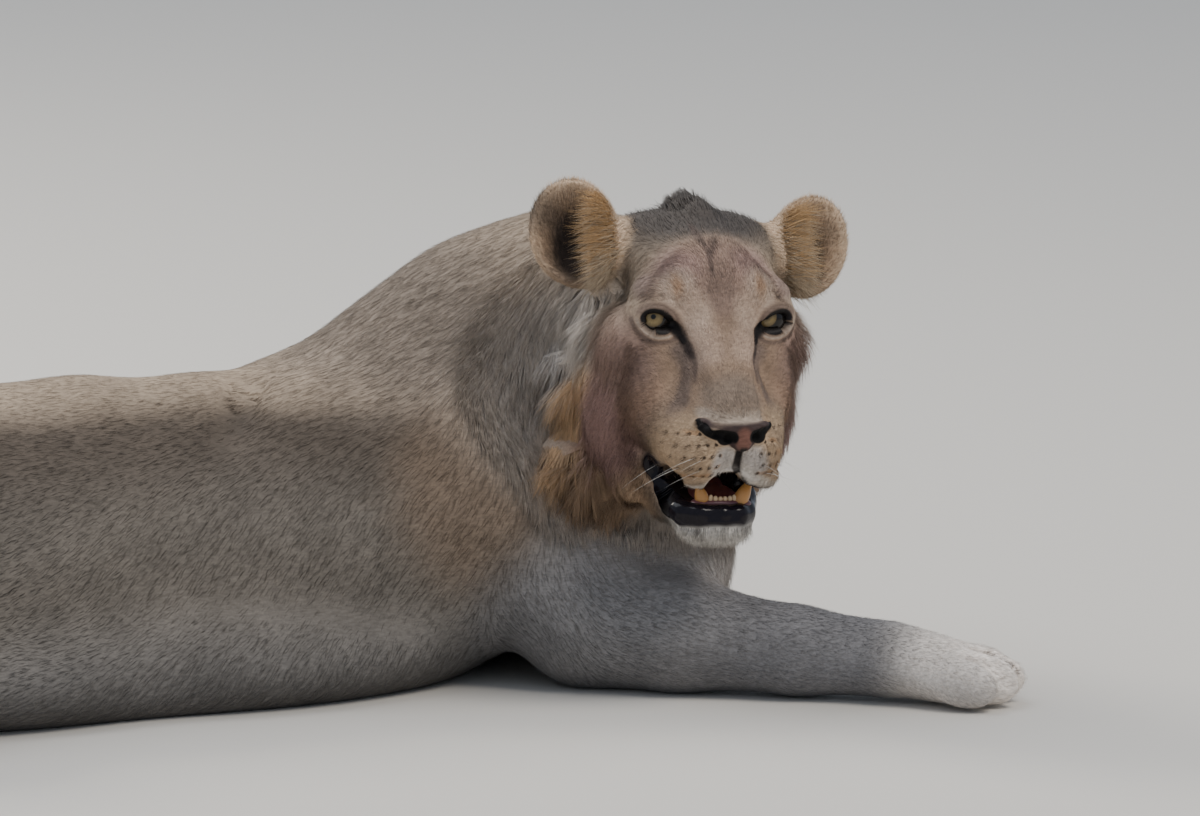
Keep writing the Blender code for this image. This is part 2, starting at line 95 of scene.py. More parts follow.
# ---------------------------------------------------------------- camera, floor and light
# A long lens twelve metres away looks slightly down at the lion's right shoulder and face. The floor is
# plain and pale. A warm lamp hangs above and in front, a wide cool one overhead, a warm one behind.
def linked(name, data):
    """A new object in the scene."""
    obj = bpy.data.objects.new(name, data)
    bpy.context.scene.collection.objects.link(obj)
    return obj


def mesh_from(name, bm):
    """What bm holds, as a new mesh."""
    mesh = bpy.data.meshes.new(name)
    bm.to_mesh(mesh)
    bm.free()
    return mesh


def new_paint(name, rough):
    """A new material and its surface."""
    material = bpy.data.materials.new(name)
    material.use_nodes = True
    surface = material.node_tree.nodes["Principled BSDF"]
    surface.inputs["Roughness"].default_value = rough
    return material, surface


LENS, DISTANCE = 360.0, 12.0
VIEW_TURN, VIEW_DROP = -20.0, 10.0
look = Vector((0, 1, 0))
look.rotate(Euler((math.radians(-VIEW_DROP), 0, 0)))
look.rotate(Euler((0, 0, math.radians(VIEW_TURN))))
aim = BODY @ Vector((28.1, -13.4, 27.3))
camera = linked("camera", bpy.data.cameras.new("camera"))
camera.data.lens = LENS
camera.data.sensor_width = 36.0
camera.data.clip_end = 100.0
camera.location = aim * CM - look * DISTANCE
camera.rotation_euler = look.to_track_quat("-Z", "Y").to_euler()
bpy.context.scene.camera = camera

FLOOR_SIZE = 16.0
bm = bmesh.new()
bmesh.ops.create_grid(bm, x_segments=1, y_segments=1, size=FLOOR_SIZE)
floor = linked("floor", mesh_from("floor", bm))
floor_paint, floor_finish = new_paint("floor_paint", 0.8)
floor_finish.inputs["Base Color"].default_value = (0.62, 0.59, 0.54, 1)
floor.data.materials.append(floor_paint)
floor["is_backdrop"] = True


def add_light(name, offset, size, power, colour):
    """A square soft light at an offset from the lion, facing it."""
    lamp = bpy.data.lights.new(name, "AREA")
    lamp.size = size
    lamp.energy = power
    lamp.color = colour
    obj = linked(name, lamp)
    obj.location = Vector(offset)
    obj.rotation_euler = (Vector((0, 0, 0.2)) - Vector(offset)).to_track_quat("-Z", "Y").to_euler()


add_light("key", (2.2, -2.6, 4.4), 2.0, 150, (1.0, 0.93, 0.84))
add_light("sky", (-1.5, 1.5, 4.5), 4.0, 120, (0.95, 0.97, 1.0))
add_light("rim", (-2.0, 3.4, 3.0), 1.6, 150, (1.0, 0.93, 0.82))
world = bpy.data.worlds.new("studio")
bpy.context.scene.world = world
world.use_nodes = True
world.node_tree.nodes["Background"].inputs["Color"].default_value = (0.74, 0.84, 1.0, 1)
world.node_tree.nodes["Background"].inputs["Strength"].default_value = 0.62

# ---------------------------------------------------------------- the flesh
# Muscle, fat and bone under the coat, as rounded masses that flow into each other: the trunk spread on
# the floor, the thick neck, folded legs, and the head with its muzzle, cheeks, lids, nose and lips.
BLENDS = {"body": 2.2, "head": 0.8, "paws": 0.6, "tail": 0.25, "rims": 0.16}
MASSES = {name: [] for name in BLENDS}
JOIN_BLEND = 1.8
HEAD_REACH = 32
EARS = []
DENTS = []


def egg(group, centre, radii, turn=(0, 0, 0), place=BODY):
    matrix = place @ Matrix.Translation(centre) @ turned(*turn)
    MASSES[group].append(("egg", np.array(matrix), np.array(radii, float)))


def both(group, centre, radii, turn=(0, 0, 0), place=BODY):
    """The same egg on the left and on the right."""
    for side in (1, -1):
        at = (centre[0], side * centre[1], centre[2])
        egg(group, at, radii, (side * turn[0], turn[1], side * turn[2]), place)


def limb(group, points, radii, place=BODY):
    """A tapered limb through points."""
    points = [place @ Vector(p) for p in points]
    for a, b, ra, rb in zip(points, points[1:], radii, radii[1:]):
        along = (b - a).normalized()
        across = along.orthogonal().normalized()
        matrix = Matrix((along, across, along.cross(across))).transposed().to_4x4()
        matrix.translation = a
        MASSES[group].append(("cone", np.array(matrix), np.array([(b - a).length, ra, rb])))


def dent(centre, radii, turn=(0, 0, 0), edge=0.4):
    """A hollow pressed into the head, its rim rounded over about edge."""
    matrix = HEAD @ Matrix.Translation(centre) @ turned(*turn)
    DENTS.append((("egg", np.array(matrix), np.array(radii, float)), edge))


def ear(centre, radii, turn, inner_radii, shift=(1.7, 0, 0.4)):
    """A cupped ear: an egg hollowed by a smaller one in front of it."""
    outer = HEAD @ Matrix.Translation(centre) @ turned(*turn)
    inner = outer @ Matrix.Translation(shift)
    cup = ("egg", np.array(inner), np.array(inner_radii, float))
    EARS.append((("egg", np.array(outer), np.array(radii, float)), cup))


def smooth_route(points, steps):
    """The same route through points, rounded at its turns."""
    points = [Vector(p) for p in points]
    ends = [2 * points[0] - points[1], *points, 2 * points[-1] - points[-2]]
    route = []
    for a, b, c, d in zip(ends, ends[1:], ends[2:], ends[3:]):
        for i in range(steps):
            t = i / steps
            bend = (2 * a - 5 * b + 4 * c - d) * t * t + (3 * b - a - 3 * c + d) * t**3
            route.append(b + ((c - a) * t + bend) / 2)
    return [*route, points[-1]]


# trunk and neck
egg("body", (-4, 0, 14.5), (29, 16.0, 13.5))
egg("body", (-36, 0, 15.0), (30, 18.0, 14.8))
egg("body", (-68, 0, 17.0), (23, 14.5, 13.6))
egg("body", (-81, 0, 16.0), (13, 12.0, 12.5))
egg("body", (-10, 0, 4.0), (30, 21.5, 8.0))
egg("body", (-36, 0, 4.0), (26, 24.0, 7.5))
spine = [(0, 0, 22.6), (-10, 0, 23.6), (-22, 0, 24.3), (-45, 0, 24.6), (-76, 0, 24.8)]
limb("body", spine, [5.5, 5.3, 5.2, 5.2, 5.4])
egg("body", (25, 0, 13.0), (14, 12.5, 12))
both("body", (10, 10.0, 16), (14, 7.5, 13))
both("body", (5, 6.0, 21), (11, 5.5, 8.5), (0, 25, 0))
nape_line = [(5, 0, 20.6), (14, 0.5, 25.8), (22, 1, 30.0), (29, -2, 32.8), (33.5, -9, 34.5)]
limb("body", nape_line, [9.8, 11.0, 11.8, 11.6, 10.5])
egg("body", (33, -10, 22), (11, 10.5, 12), (0, 10, 0))
egg("body", (35.5, -8, 11), (8, 12, 10))
# tail
tail_route = [(-90, 0, 19), (-98, -1, 12), (-103, -5, 4.2), (-106, -14, 2.2), (-103, -26, 2.0)]
tail_route = smooth_route(tail_route + [(-93, -34, 1.9), (-80, -37.5, 1.8), (-67, -40, 1.8)], 4)
limb("tail", tail_route, [4.2 - 2.4 * math.sqrt(i / (len(tail_route) - 1)) for i in range(len(tail_route))])
egg("tail", (-61, -41, 2.3), (8.5, 3.3, 2.6), (0, 0, -12))


PAWS = []


def paw(wrist, yaw, s=1.0):
    place = BODY @ Matrix.Translation(wrist) @ turned(0, 0, yaw)
    PAWS.append(place @ Matrix.Scale(s, 4))
    egg("paws", (2.6 * s, 0, 3.8 * s), (6.4 * s, 4.6 * s, 3.5 * s), (0, 8, 0), place)
    egg("paws", (7.0 * s, 0, 2.9 * s), (4.6 * s, 5.2 * s, 2.8 * s), (0, 0, 0), place)
    for spread, ahead in ((-4.2, 8.4), (-1.5, 10.2), (1.5, 10.2), (4.2, 8.4)):
        toe = (3.3 * s, 1.7 * s, 2.4 * s)
        egg("paws", (ahead * s, spread * s, 2.7 * s), toe, (0, 10, spread * 2), place)


# forelegs: the right one stretched out, the left one folded
limb("body", [(16, -11, 17), (25, -17, 8.0)], [8.0, 5.8])
forearm_line = [(25.5, -17.5, 6.0), (33, -23.0, 5.6), (43, -29.6, 4.6), (50.5, -34.4, 4.1)]
limb("paws", forearm_line, [6.0, 5.7, 4.5, 3.9])
paw((51, -34.8, 0), -32)
limb("body", [(15, 11, 17), (20, 17, 7.5)], [8.0, 5.6])
limb("paws", [(20.5, 18.0, 5.6), (31, 16.5, 5.0), (39, 13.0, 4.3)], [5.6, 4.8, 4.0])
paw((40, 10.5, 0), -108, 0.92)
# hind legs
for side in (-1, 1):
    egg("body", (-63, side * 15.5, 15.5), (20, 7.5, 13.0), (0, -12, side * 4))
    egg("body", (-50, side * 20.5, 10.5), (9, 5.6, 8.0))
    limb("body", [(-51, side * 21.5, 8.5), (-77, side * 19.5, 6)], [5.4, 4.0])
    hock_line = [(-81, side * 19.5, 5.2), (-77, side * 20.5, 4.2), (-58, side * 25.0, 3.9)]
    limb("paws", hock_line, [3.6, 3.7, 3.5])
    paw((-58.5, side * 25.0, 0), side * 12, 0.92)


def head_egg(centre, radii, turn=(0, 0, 0)):
    egg("head", centre, radii, turn, HEAD)


def head_pair(centre, radii, turn=(0, 0, 0)):
    both("head", centre, radii, turn, HEAD)


head_egg((-8.5, 0, 2.6), (10.0, 8.2, 7.4))  # skull
head_pair((-9.0, 4.6, 5.4), (6.0, 4.4, 4.0))
head_egg((-3.2, 0, 1.8), (4.8, 6.8, 4.6))  # forehead
head_pair((-1.1, 5.0, 2.6), (2.3, 3.2, 1.5), (0, 0, 14))  # brows
head_pair((-1.4, 5.6, 0.2), (2.2, 3.2, 2.6))  # lids
head_egg((-0.2, 0, 0.2), (2.8, 3.4, 3.2), (0, -20, 0))  # root of the nose
head_pair((1.8, 1.5, -2.9), (2.8, 2.0, 3.0), (0, 40, 0))  # broad flat bridge
head_pair((4.4, 1.5, -5.9), (2.8, 1.9, 2.6), (0, 40, 0))
head_egg((6.8, 0, -8.0), (2.0, 2.7, 1.8), (0, 35, 0))
head_egg((8.0, 0, -9.4), (1.1, 2.3, 1.2))  # nose pad
head_egg((2.4, 0, -8.8), (5.4, 4.6, 4.8))  # upper jaw
head_pair((5.4, 2.9, -12.4), (3.2, 2.8, 2.9), (0, 6, 8))  # whisker pads
head_pair((0.8, 4.5, -10.6), (4.6, 2.3, 3.6), (0, 0, 8))  # upper lips towards the corner
head_pair((-2.6, 6.0, -7.4), (5.0, 3.0, 5.0), (0, 0, 14))  # cheek beside the muzzle
head_pair((-1.4, 4.9, -3.8), (3.0, 2.9, 2.8))  # below the eyes
head_pair((-5.0, 7.6, -3.0), (5.4, 3.6, 4.6), (0, 0, 14))  # cheekbones
head_pair((-7.0, 7.0, -9.4), (5.8, 3.6, 6.4), (0, 0, 8))  # jaw muscles
head_egg((3.9, 0, -19.7), (2.8, 3.0, 1.9))  # chin
for side in (-1, 1):
    jaw_line = [(3.4, side * 2.0, -19.4), (-2.0, side * 3.2, -18.2), (-8, side * 5.0, -14.0)]
    limb("head", jaw_line, [1.8, 1.8, 2.8], HEAD)
head_pair((-6.2, 5.6, -14.6), (4.2, 3.4, 5.2))  # cheek behind the corner of the mouth
head_egg((-0.5, 0, -18.4), (4.6, 2.8, 1.6))  # floor of the mouth
head_egg((-9.0, 0, -13.0), (7.6, 6.3, 6.0))  # throat under the jaw
head_pair((-10.0, 8.8, -7.0), (4.4, 2.8, 9.0), (0, -14, 8))  # cheek ruff
head_egg((-15.0, 0, -6.0), (8.0, 10.5, 12.0))  # nape
head_egg((-9.0, 0, 9.6), (4.0, 2.0, 1.8))  # crest of hair on the crown
head_pair((-8.8, 9.0, 4.2), (2.8, 2.8, 2.8))  # ear roots
ear((-9.0, -12.0, 7.2), (3.0, 4.7, 5.6), (18, -6, -30), (2.5, 4.0, 4.9))
ear((-9.0, 12.6, 5.8), (3.0, 4.9, 5.6), (-46, -6, 20), (2.5, 4.2, 4.9))

# the mouth stands open by two fingers; nose and upper lip lean a little to the animal's left
MUZZLE = HEAD @ turned(3.0, 0, 0)
TO_MUZZLE = np.array(MUZZLE.inverted())
dent((5.0, 0, -16.5), (7.4, 5.2, 1.5), (0, 8, 0))

# almond openings of the eyes in lids that wrap the eyeballs
EYE_RADIUS = 1.95
LID_RADIUS = 2.16
LID_WIDTH, LID_HEIGHT, LID_TILT, LID_TURN = 1.55, 1.06, 19, 9


def eye_frame(side):
    """The middle of one eyeball, x out of the opening, y outward, z up."""
    place = HEAD @ Matrix.Translation((-EYE_SET_BACK, side * 5.9, 0)) @ Matrix.Diagonal((1, side, 1, 1))
    return place @ turned(LID_TILT, 0, LID_TURN)


def lid_point(side, angle, grow=0.0, radius=LID_RADIUS):
    """A point round the opening, in the head's measures: 0 is the outer corner, 90 the top."""
    y = (LID_WIDTH + grow) * math.cos(math.radians(angle))
    z = (LID_HEIGHT + grow) * math.sin(math.radians(angle))
    ahead = math.sqrt(max(radius**2 - y * y - z * z, 0.25))
    return HEAD.inverted() @ eye_frame(side) @ Vector((ahead, y, z))


for side in (1, -1):
    opening = eye_frame(side) @ Matrix.Translation((2.1, 0, 0))
    DENTS.append((("egg", np.array(opening), np.array((2.2, LID_WIDTH, LID_HEIGHT))), 0.22))
    upper = [lid_point(side, a, 0.08) for a in range(0, 181, 15)]
    lower = [lid_point(side, a, 0.05) for a in range(180, 361, 15)]
    limb("rims", upper, [0.20 + 0.08 * math.sin(math.pi * i / 12) for i in range(13)], HEAD)
    limb("rims", lower, [0.20] * 13, HEAD)

# nose: a leathery pad with thin wings curling up over two comma-shaped nostrils
egg("rims", (8.5, 0, -9.75), (1.0, 2.4, 0.6), (0, 25, 0), MUZZLE)
egg("rims", (8.8, 0, -10.6), (0.8, 1.05, 1.25), (0, -8, 0), MUZZLE)
both("rims", (8.2, 2.6, -9.3), (1.05, 1.2, 0.48), (-8, 10, 24), MUZZLE)
both("rims", (7.5, 3.9, -8.8), (0.85, 0.8, 0.48), (-24, 0, 40), MUZZLE)
# lips: the upper lobes hang over the teeth, the lower lip is a thick black roll
LEFT_MOUTH = 0.8
UPPER_LIP = [
    (7.2, 0.4, -14.1), (6.8, 1.5, -14.9), (6.4, 2.8, -15.6),
    (5.6, 4.0, -15.7), (3.4, 4.9, -15.1), (0.2, 5.7, -14.0),
]
LOWER_LIP = [
    (-0.6, 5.2, -14.8), (0.5, 5.0, -16.4), (2.0, 4.5, -18.0),
    (4.0, 3.6, -18.6), (5.3, 2.2, -18.55), (5.8, 0, -18.5),
]
LOWER_LIP_WIDTH = 1.45
HANG = {1: [0, -0.1, -0.4, -0.2, 0, 0], -1: [0, 0, 0.1, 0.1, 0, 0]}
for side in (1, -1):
    egg("rims", (5.8, side * 2.9, -14.8), (1.5, 2.2, 1.1), (0, 0, 0), MUZZLE)
    lip = [(x, side * y, z - drop) for (x, y, z), drop in zip(UPPER_LIP, HANG[side])]
    limb("rims", lip, [0.35, 0.6, 0.7, 0.7, 0.55, 0.35], MUZZLE)
    narrow = 1 if side < 0 else LEFT_MOUTH
    roll = [(x, side * narrow * y, z) for x, y, z in LOWER_LIP]
    limb("rims", roll, [0.5, 0.95, 1.15, 1.05, 0.9, 0.85], HEAD)

HOLLOWS = []
SLIT = [(9.5, 1.3, -10.3), (9.1, 2.4, -10.0), (8.4, 3.3, -9.6), (7.4, 4.0, -9.0)]
TEAR_LINE = [(0.9, 4.75, -0.35), (1.6, 4.25, -0.95), (2.3, 3.8, -1.85), (3.5, 3.45, -3.1)]


def hollow(mass_maker, edge):
    """Takes the masses that mass_maker adds to the rims and presses them in instead."""
    before = len(MASSES["rims"])
    mass_maker()
    HOLLOWS.extend((mass, edge) for mass in MASSES["rims"][before:])
    del MASSES["rims"][before:]


for side in (1, -1):
    tear = [(x + 0.25, side * y, z) for x, y, z in TEAR_LINE]
    hollow(lambda: limb("rims", tear[:3], [0.42, 0.30, 0.12], HEAD), 0.2)
    slit = [(x, side * y, z) for x, y, z in SLIT]
    hollow(lambda: limb("rims", slit, [0.50, 0.42, 0.28, 0.12], MUZZLE), 0.12)
    crease = [(4.6, side * 3.9, -3.4), (6.4, side * 3.8, -5.4), (8.0, side * 3.7, -7.8)]
    hollow(lambda: limb("rims", crease, [0.7, 0.8, 0.6], HEAD), 0.5)
    hollow(lambda: egg("rims", (9.3, side * 1.45, -10.4), (0.9, 0.5, 0.5), (side * 12, 0, 0), MUZZLE), 0.12)
hollow(lambda: egg("rims", (8.0, 0, -13.6), (2.2, 0.22, 1.6), (0, 0, 0), MUZZLE), 0.2)
hollow(lambda: limb("rims", [(1.6, 0, 7.6), (3.6, 0, 4.0)], [0.8, 0.5], HEAD), 0.6)
NECK_FOLDS = [
    [(-6, -4, 30.4), (-9, -9.5, 28.2), (-11, -13.5, 24.5)],
    [(18.5, -15.5, 34), (21, -17.5, 28), (26, -18.5, 21)],
    [(21.5, -14.5, 35), (24, -17.5, 28), (29, -19.5, 20)],
]
for fold in NECK_FOLDS:
    hollow(lambda: limb("rims", fold, [0.7, 0.9, 0.5], BODY), 1.0)
TOE_GAPS = [[(8.6, y, 5.6), (11.4, y * 1.02, 4.4), (13.6, y * 1.05, 1.6)] for y in (-2.9, 0.0, 2.9)]
for place in PAWS:
    size = place.to_scale()[0]
    for gap in TOE_GAPS:
        points = [place @ Vector(point) for point in gap]
        hollow(lambda: limb("rims", points, [0.25 * size, 0.55 * size, 0.5 * size], Matrix()), 0.35)


def distance(mass, points):
    """How far points lie outside one mass, in cm."""
    kind, place, size = mass
    local = (points - place[:3, 3]) @ place[:3, :3]
    if kind == "egg":
        k0 = np.linalg.norm(local / size, axis=1)
        k1 = np.linalg.norm(local / size**2, axis=1)
        return k0 * (k0 - 1) / np.maximum(k1, 1e-9)
    length, ra, rb = size
    t = np.clip(local[:, 0] / length, 0, 1)
    local[:, 0] -= t * length
    return np.linalg.norm(local, axis=1) - (ra + (rb - ra) * t)


def reach(mass):
    kind, place, size = mass
    if kind == "egg":
        return place[:3, 3], size.max()
    return place[:3, 3] + place[:3, 0] * size[0] / 2, size[0] / 2 + max(size[1:])


def blended(masses, points, k):
    total = np.full(len(points), 1e-30)
    for mass in masses:
        centre, radius = reach(mass)
        near = np.flatnonzero(((points - centre) ** 2).sum(axis=1) < (radius + 8 * k) ** 2)
        if len(near):
            total[near] += np.exp(np.clip(-distance(mass, points[near]) / k, -60, 60))
    return -k * np.log(total)


def smooth_min(a, b, k):
    low = np.minimum(a, b)
    return low - k * np.log(np.exp((low - a) / k) + np.exp((low - b) / k))


def smooth_max(a, b, k):
    return -smooth_min(-a, -b, k)


def flesh(points):
    """Signed distance to the skin in cm, negative inside."""
    groups = [blended(MASSES[g], points, BLENDS[g]) for g in ("body", "head", "paws", "tail")]
    low = np.minimum.reduce(groups)
    total = sum(np.exp(np.clip((low - g) / JOIN_BLEND, -60, 0)) for g in groups)
    here = low - JOIN_BLEND * np.log(total)
    near = np.flatnonzero(np.linalg.norm(points - np.array(HEAD.translation), axis=1) < HEAD_REACH)
    close = points[near]
    face = here[near]
    for outer, inner in EARS:
        face = smooth_min(face, smooth_max(distance(outer, close), -distance(inner, close), 0.4), 0.5)
    for side in (1, -1):
        ball = ("egg", np.array(eye_frame(side)), np.full(3, LID_RADIUS))
        face = smooth_min(face, distance(ball, close), 0.35)
    for mass, edge in DENTS:
        face = smooth_max(face, -distance(mass, close), edge)
    here[near] = smooth_min(face, blended(MASSES["rims"], close, BLENDS["rims"]), 0.2)
    for mass, edge in HOLLOWS:
        centre, radius = reach(mass)
        by = np.flatnonzero(((points - centre) ** 2).sum(axis=1) < (radius + 6 * edge) ** 2)
        here[by] = smooth_max(here[by], -distance(mass, points[by]), edge)
    return here


# ---------------------------------------------------------------- the coat's measures
# Hair is shortest on the muzzle and feet, short and flat on the body and neck, and long in the ruff round
# the cheeks, under the throat and on the crown. A coat has a length, a depth over the skin and a lift.
def soft(x, low, high):
    """0 below low, 1 above high, smooth between."""
    t = np.clip((x - low) / (high - low), 0, 1)
    return t * t * (3 - 2 * t)


def zone(local, centre, radii, edge=0.3):
    """1 inside an egg, 0 outside it, soft over edge on both sides of its wall."""
    far = np.linalg.norm((local - centre) / np.array(radii, float), axis=1)
    return 1 - soft(far, 1 - edge, 1 + edge)


def mirrored(local):
    """The same places with both sides of the head folded onto the left one."""
    folded = local.copy()
    folded[:, 1] = abs(folded[:, 1])
    return folded


def mouth_side(local):
    """Both sides of the mouth folded onto one, the left side being the narrower."""
    folded = local.copy()
    folded[:, 1] = np.where(local[:, 1] > 0, local[:, 1] / LEFT_MOUTH, -local[:, 1])
    return folded


def along_line(local, points, width, end_width=None, edge=(0.5, 1.2)):
    """1 on a line through points, 0 beyond about width of it; the line may taper to end_width."""
    widths = np.linspace(width, width if end_width is None else end_width, len(points))
    best = np.zeros(len(local))
    for a, b, wa, wb in zip(points, points[1:], widths, widths[1:]):
        a, b = np.array(a, float), np.array(b, float)
        t = np.clip((local - a) @ (b - a) / ((b - a) @ (b - a)), 0, 1)
        away = np.linalg.norm(local - a - t[:, None] * (b - a), axis=1) / (wa + (wb - wa) * t)
        best = np.maximum(best, 1 - soft(away, *edge))
    return best


RIGHT_FORELEG = [(22, -15, 9), (33, -23.0, 5.6), (43, -29.6, 4.6), (51, -34.8, 4), (64, -43, 3)]
LEFT_FORELEG = [(18, 16, 9), (31, 16.5, 5.0), (39, 13.0, 4.3), (36, 0, 3)]
RIGHT_HIND_FOOT = [(-80, -19.5, 4), (-58, -25, 3.9), (-47, -28, 3)]
LEFT_HIND_FOOT = [(-80, 19.5, 4), (-58, 25, 3.9), (-47, 28, 3)]
TAIL = [tuple(p) for p in tail_route]
EAR_PLACES = [np.array((-9.0, -12.8, 7.6)), np.array((-9.0, 13.4, 6.6))]


def coat(points):
    """Length, depth and lift of the hair at points: three columns, in cm, cm and degrees."""
    head, body = seen_from(TO_HEAD, points), seen_from(TO_BODY, points)
    face = mirrored(head)
    made = np.tile((1.4, 0.4, 5.0), (len(points), 1))

    def lay(mask, length, depth, lift):
        made[:] += mask[:, None] * (np.array((length, depth, lift)) - made)

    lay(1 - soft(body[:, 2], 2, 8), 1.8, 0.4, 7)
    lay(zone(body, (20, 0, 27), (19, 17, 17)), 1.9, 0.65, 8)
    lay(zone(body, (36, -8, 16), (13, 17, 19)), 1.9, 0.7, 12)
    for leg in (RIGHT_FORELEG, LEFT_FORELEG):
        lay(along_line(body, leg, 9.5), 0.95, 0.3, 12)
        lay(along_line(body, leg[-2:], 9), 0.75, 0.2, 15)
    for leg in (RIGHT_HIND_FOOT, LEFT_HIND_FOOT):
        lay(along_line(body, leg, 7), 0.9, 0.28, 12)
    lay(along_line(body, TAIL, 5.5), 1.0, 0.3, 9)
    lay(zone(body, (-60, -41, 2), (11, 5, 5)), 5.0, 1.1, 9)
    lay(zone(head, (-13, 0, -6), (11, 20, 17)), 4.0, 1.3, 11)
    lay(zone(face, (-9.5, 11, -10), (5.5, 5.5, 12)), 4.6, 1.4, 11)
    lay(zone(face, (-5.0, 8.6, -8), (5.0, 3.6, 9)), 2.3, 0.8, 17)
    lay(zone(head, (-4.0, 9.5, -7), (5.0, 3.2, 9)), 3.0, 0.9, 27)
    lay(zone(head, (-9, 0, 9.0), (6.5, 8, 4.5)), 1.9, 0.5, 8)
    lay(zone(head, (-9.5, -1.4, 10.8), (3.2, 1.9, 1.8)), 2.7, 0.7, 24)
    lay(zone(head, (-1.5, 0, 4.0), (5.5, 7.2, 5.0)), 0.9, 0.3, 15)
    lay(zone(head, (1.5, 0, -7), (7.5, 7.6, 10.0), 0.2), 0.5, 0.14, 12)
    lay(zone(head, (5.0, 0, -12.5), (5.0, 6.5, 5.0)), 0.42, 0.1, 14)
    lay(zone(head, (4.0, 0, -21.0), (4.5, 4.8, 3.0)), 1.3, 0.3, 26)
    for place in EAR_PLACES:
        lay(zone(head, place, (7.0, 6.2, 6.8), 0.15), 0.85, 0.16, 14)
    lay(1 - soft(lid_gap(face)[0], 0.6, 1.6), 0.3, 0.06, 7)
    lay(bareness(points), 0.25, 0.0, 12)
    return made


TO_EYE = np.array((HEAD.inverted() @ eye_frame(1)).inverted())


def lid_gap(face):
    """How far places lie outside the eye's opening, and how high above its middle."""
    x, y, z = seen_from(TO_EYE, face).T
    out = np.maximum(np.hypot(y / LID_WIDTH, z / LID_HEIGHT), 1e-3)
    gap = np.hypot(y, z) * (1 - 1 / out)
    return np.where((x > 0) & (x < 4), gap, 9.0), z


def lip_side(muzzle):
    """Both halves of the upper lip folded onto one and lifted by how far each hangs."""
    local = mirrored(muzzle)
    for side in (1, -1):
        on = muzzle[:, 1] * side > 0
        local[on, 2] += np.interp(local[on, 1], [y for _, y, _ in UPPER_LIP], HANG[side])
    return local


NOSE_TOP = [(9.6, 0, -9.5), (9.2, 1.7, -9.4), (8.5, 3.0, -9.15), (7.6, 4.1, -8.5)]


def parting(muzzle, width):
    """1 on the dark line from the nose down to the edge of the upper lip."""
    tall = soft(-muzzle[:, 2], 11.1, 11.5) * (1 - soft(-muzzle[:, 2], 14.6, 15.4))
    return (1 - soft(abs(muzzle[:, 1]), 0.5 * width, width)) * tall * soft(muzzle[:, 0], 5, 6)


def in_mouth(points):
    """1 inside the open mouth, 0 on the outer side of the upper lip."""
    face, muzzle = mirrored(seen_from(TO_HEAD, points)), lip_side(seen_from(TO_MUZZLE, points))
    outside = along_line(muzzle, [(x + 0.5, y + 0.35, z) for x, y, z in UPPER_LIP], 0.85)
    return np.clip(zone(face, (4.0, 0, -16.5), (8.4, 5.6, 1.75), 0.1) - outside, 0, 1)


def bareness(points):
    """1 on the nose, the lids, the lips and in the mouth, where no hair grows."""
    face, muzzle = (mirrored(seen_from(m, points)) for m in (TO_HEAD, TO_MUZZLE))
    mouth = mouth_side(seen_from(TO_HEAD, points))
    places = (
        along_line(muzzle, NOSE_TOP, 0.75, 0.55),
        zone(muzzle, (9.2, 0, -10.4), (1.6, 1.5, 1.45), 0.1),
        zone(muzzle, (9.0, 1.75, -10.35), (1.8, 1.05, 0.95), 0.1),
        along_line(muzzle, SLIT, 0.8, 0.6, (0.9, 1.15)),
        parting(muzzle, 0.45),
        1 - soft(lid_gap(face)[0], 0.3, 0.5),
        along_line(face, TEAR_LINE[:3], 0.6, 0.35),
        in_mouth(points),
        along_line(mouth, LOWER_LIP, LOWER_LIP_WIDTH, None, (0.85, 1.1)),
    )
    return np.maximum.reduce(places)


# ---------------------------------------------------------------- skin
# One closed skin over the whole lion stands for every flesh part. It lies under the hair by the coat's
# depth, and is finest on the face, where it carries the lids, nostrils, nose pad and lips.
FLESH = [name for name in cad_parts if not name.startswith("eye_")]
BODY_VOXEL, BODY_KEEP = 0.5, 0.42
JOINING_GROWTH = 0.0006
SKIN_OVER_FLOOR = 0.02


def taken(obj):
    """The object's modified mesh as a new mesh in place of the old."""
    graph = bpy.context.evaluated_depsgraph_get()
    mesh = bpy.data.meshes.new_from_object(obj.evaluated_get(graph))
    mesh.name = obj.name
    obj.modifiers.clear()
    obj.data = mesh


def read(rows, word, width, kind=float):
    """One property of every row of a mesh, as an array of so many columns."""
    values = np.empty(len(rows) * width, kind)
    rows.foreach_get(word, values)
    return values.reshape(-1, width)


def read_points(mesh):
    return read(mesh.vertices, "co", 3)


def skin_depth(points):
    return flesh(points) + coat(points)[:, 1]


def settle(mesh, rounds, relaxing=0.5, step=0.02, chosen=None):
    """Draws the vertices, or the chosen ones, onto the skin; between rounds the mesh is evened out."""
    ends = read(mesh.edges, "vertices", 2, int)
    a, b = ends.T
    count = np.bincount(ends.ravel(), minlength=len(mesh.vertices))[:, None]
    points = read_points(mesh) / CM
    moving = np.flatnonzero(chosen(points)) if chosen else np.arange(len(points))
    for _ in range(rounds):
        total = np.zeros_like(points)
        for axis in range(3):
            total[:, axis] = np.bincount(a, points[b, axis], len(points))
            total[:, axis] += np.bincount(b, points[a, axis], len(points))
        some = points[moving] + relaxing * (total / np.maximum(count, 1) - points)[moving]
        here = skin_depth(some)
        slope = np.stack([(skin_depth(some + step * axis) - here) / step for axis in np.eye(3)], axis=1)
        move = (here / np.maximum((slope**2).sum(axis=1), 0.25))[:, None] * slope
        far = np.linalg.norm(move, axis=1)
        points[moving] = some - move * np.minimum(1, 1.5 / np.maximum(far, 1e-6))[:, None]
    points[:, 2] = np.maximum(points[:, 2], SKIN_OVER_FLOOR)
    mesh.vertices.foreach_set("co", (points * CM).ravel())
    mesh.update()


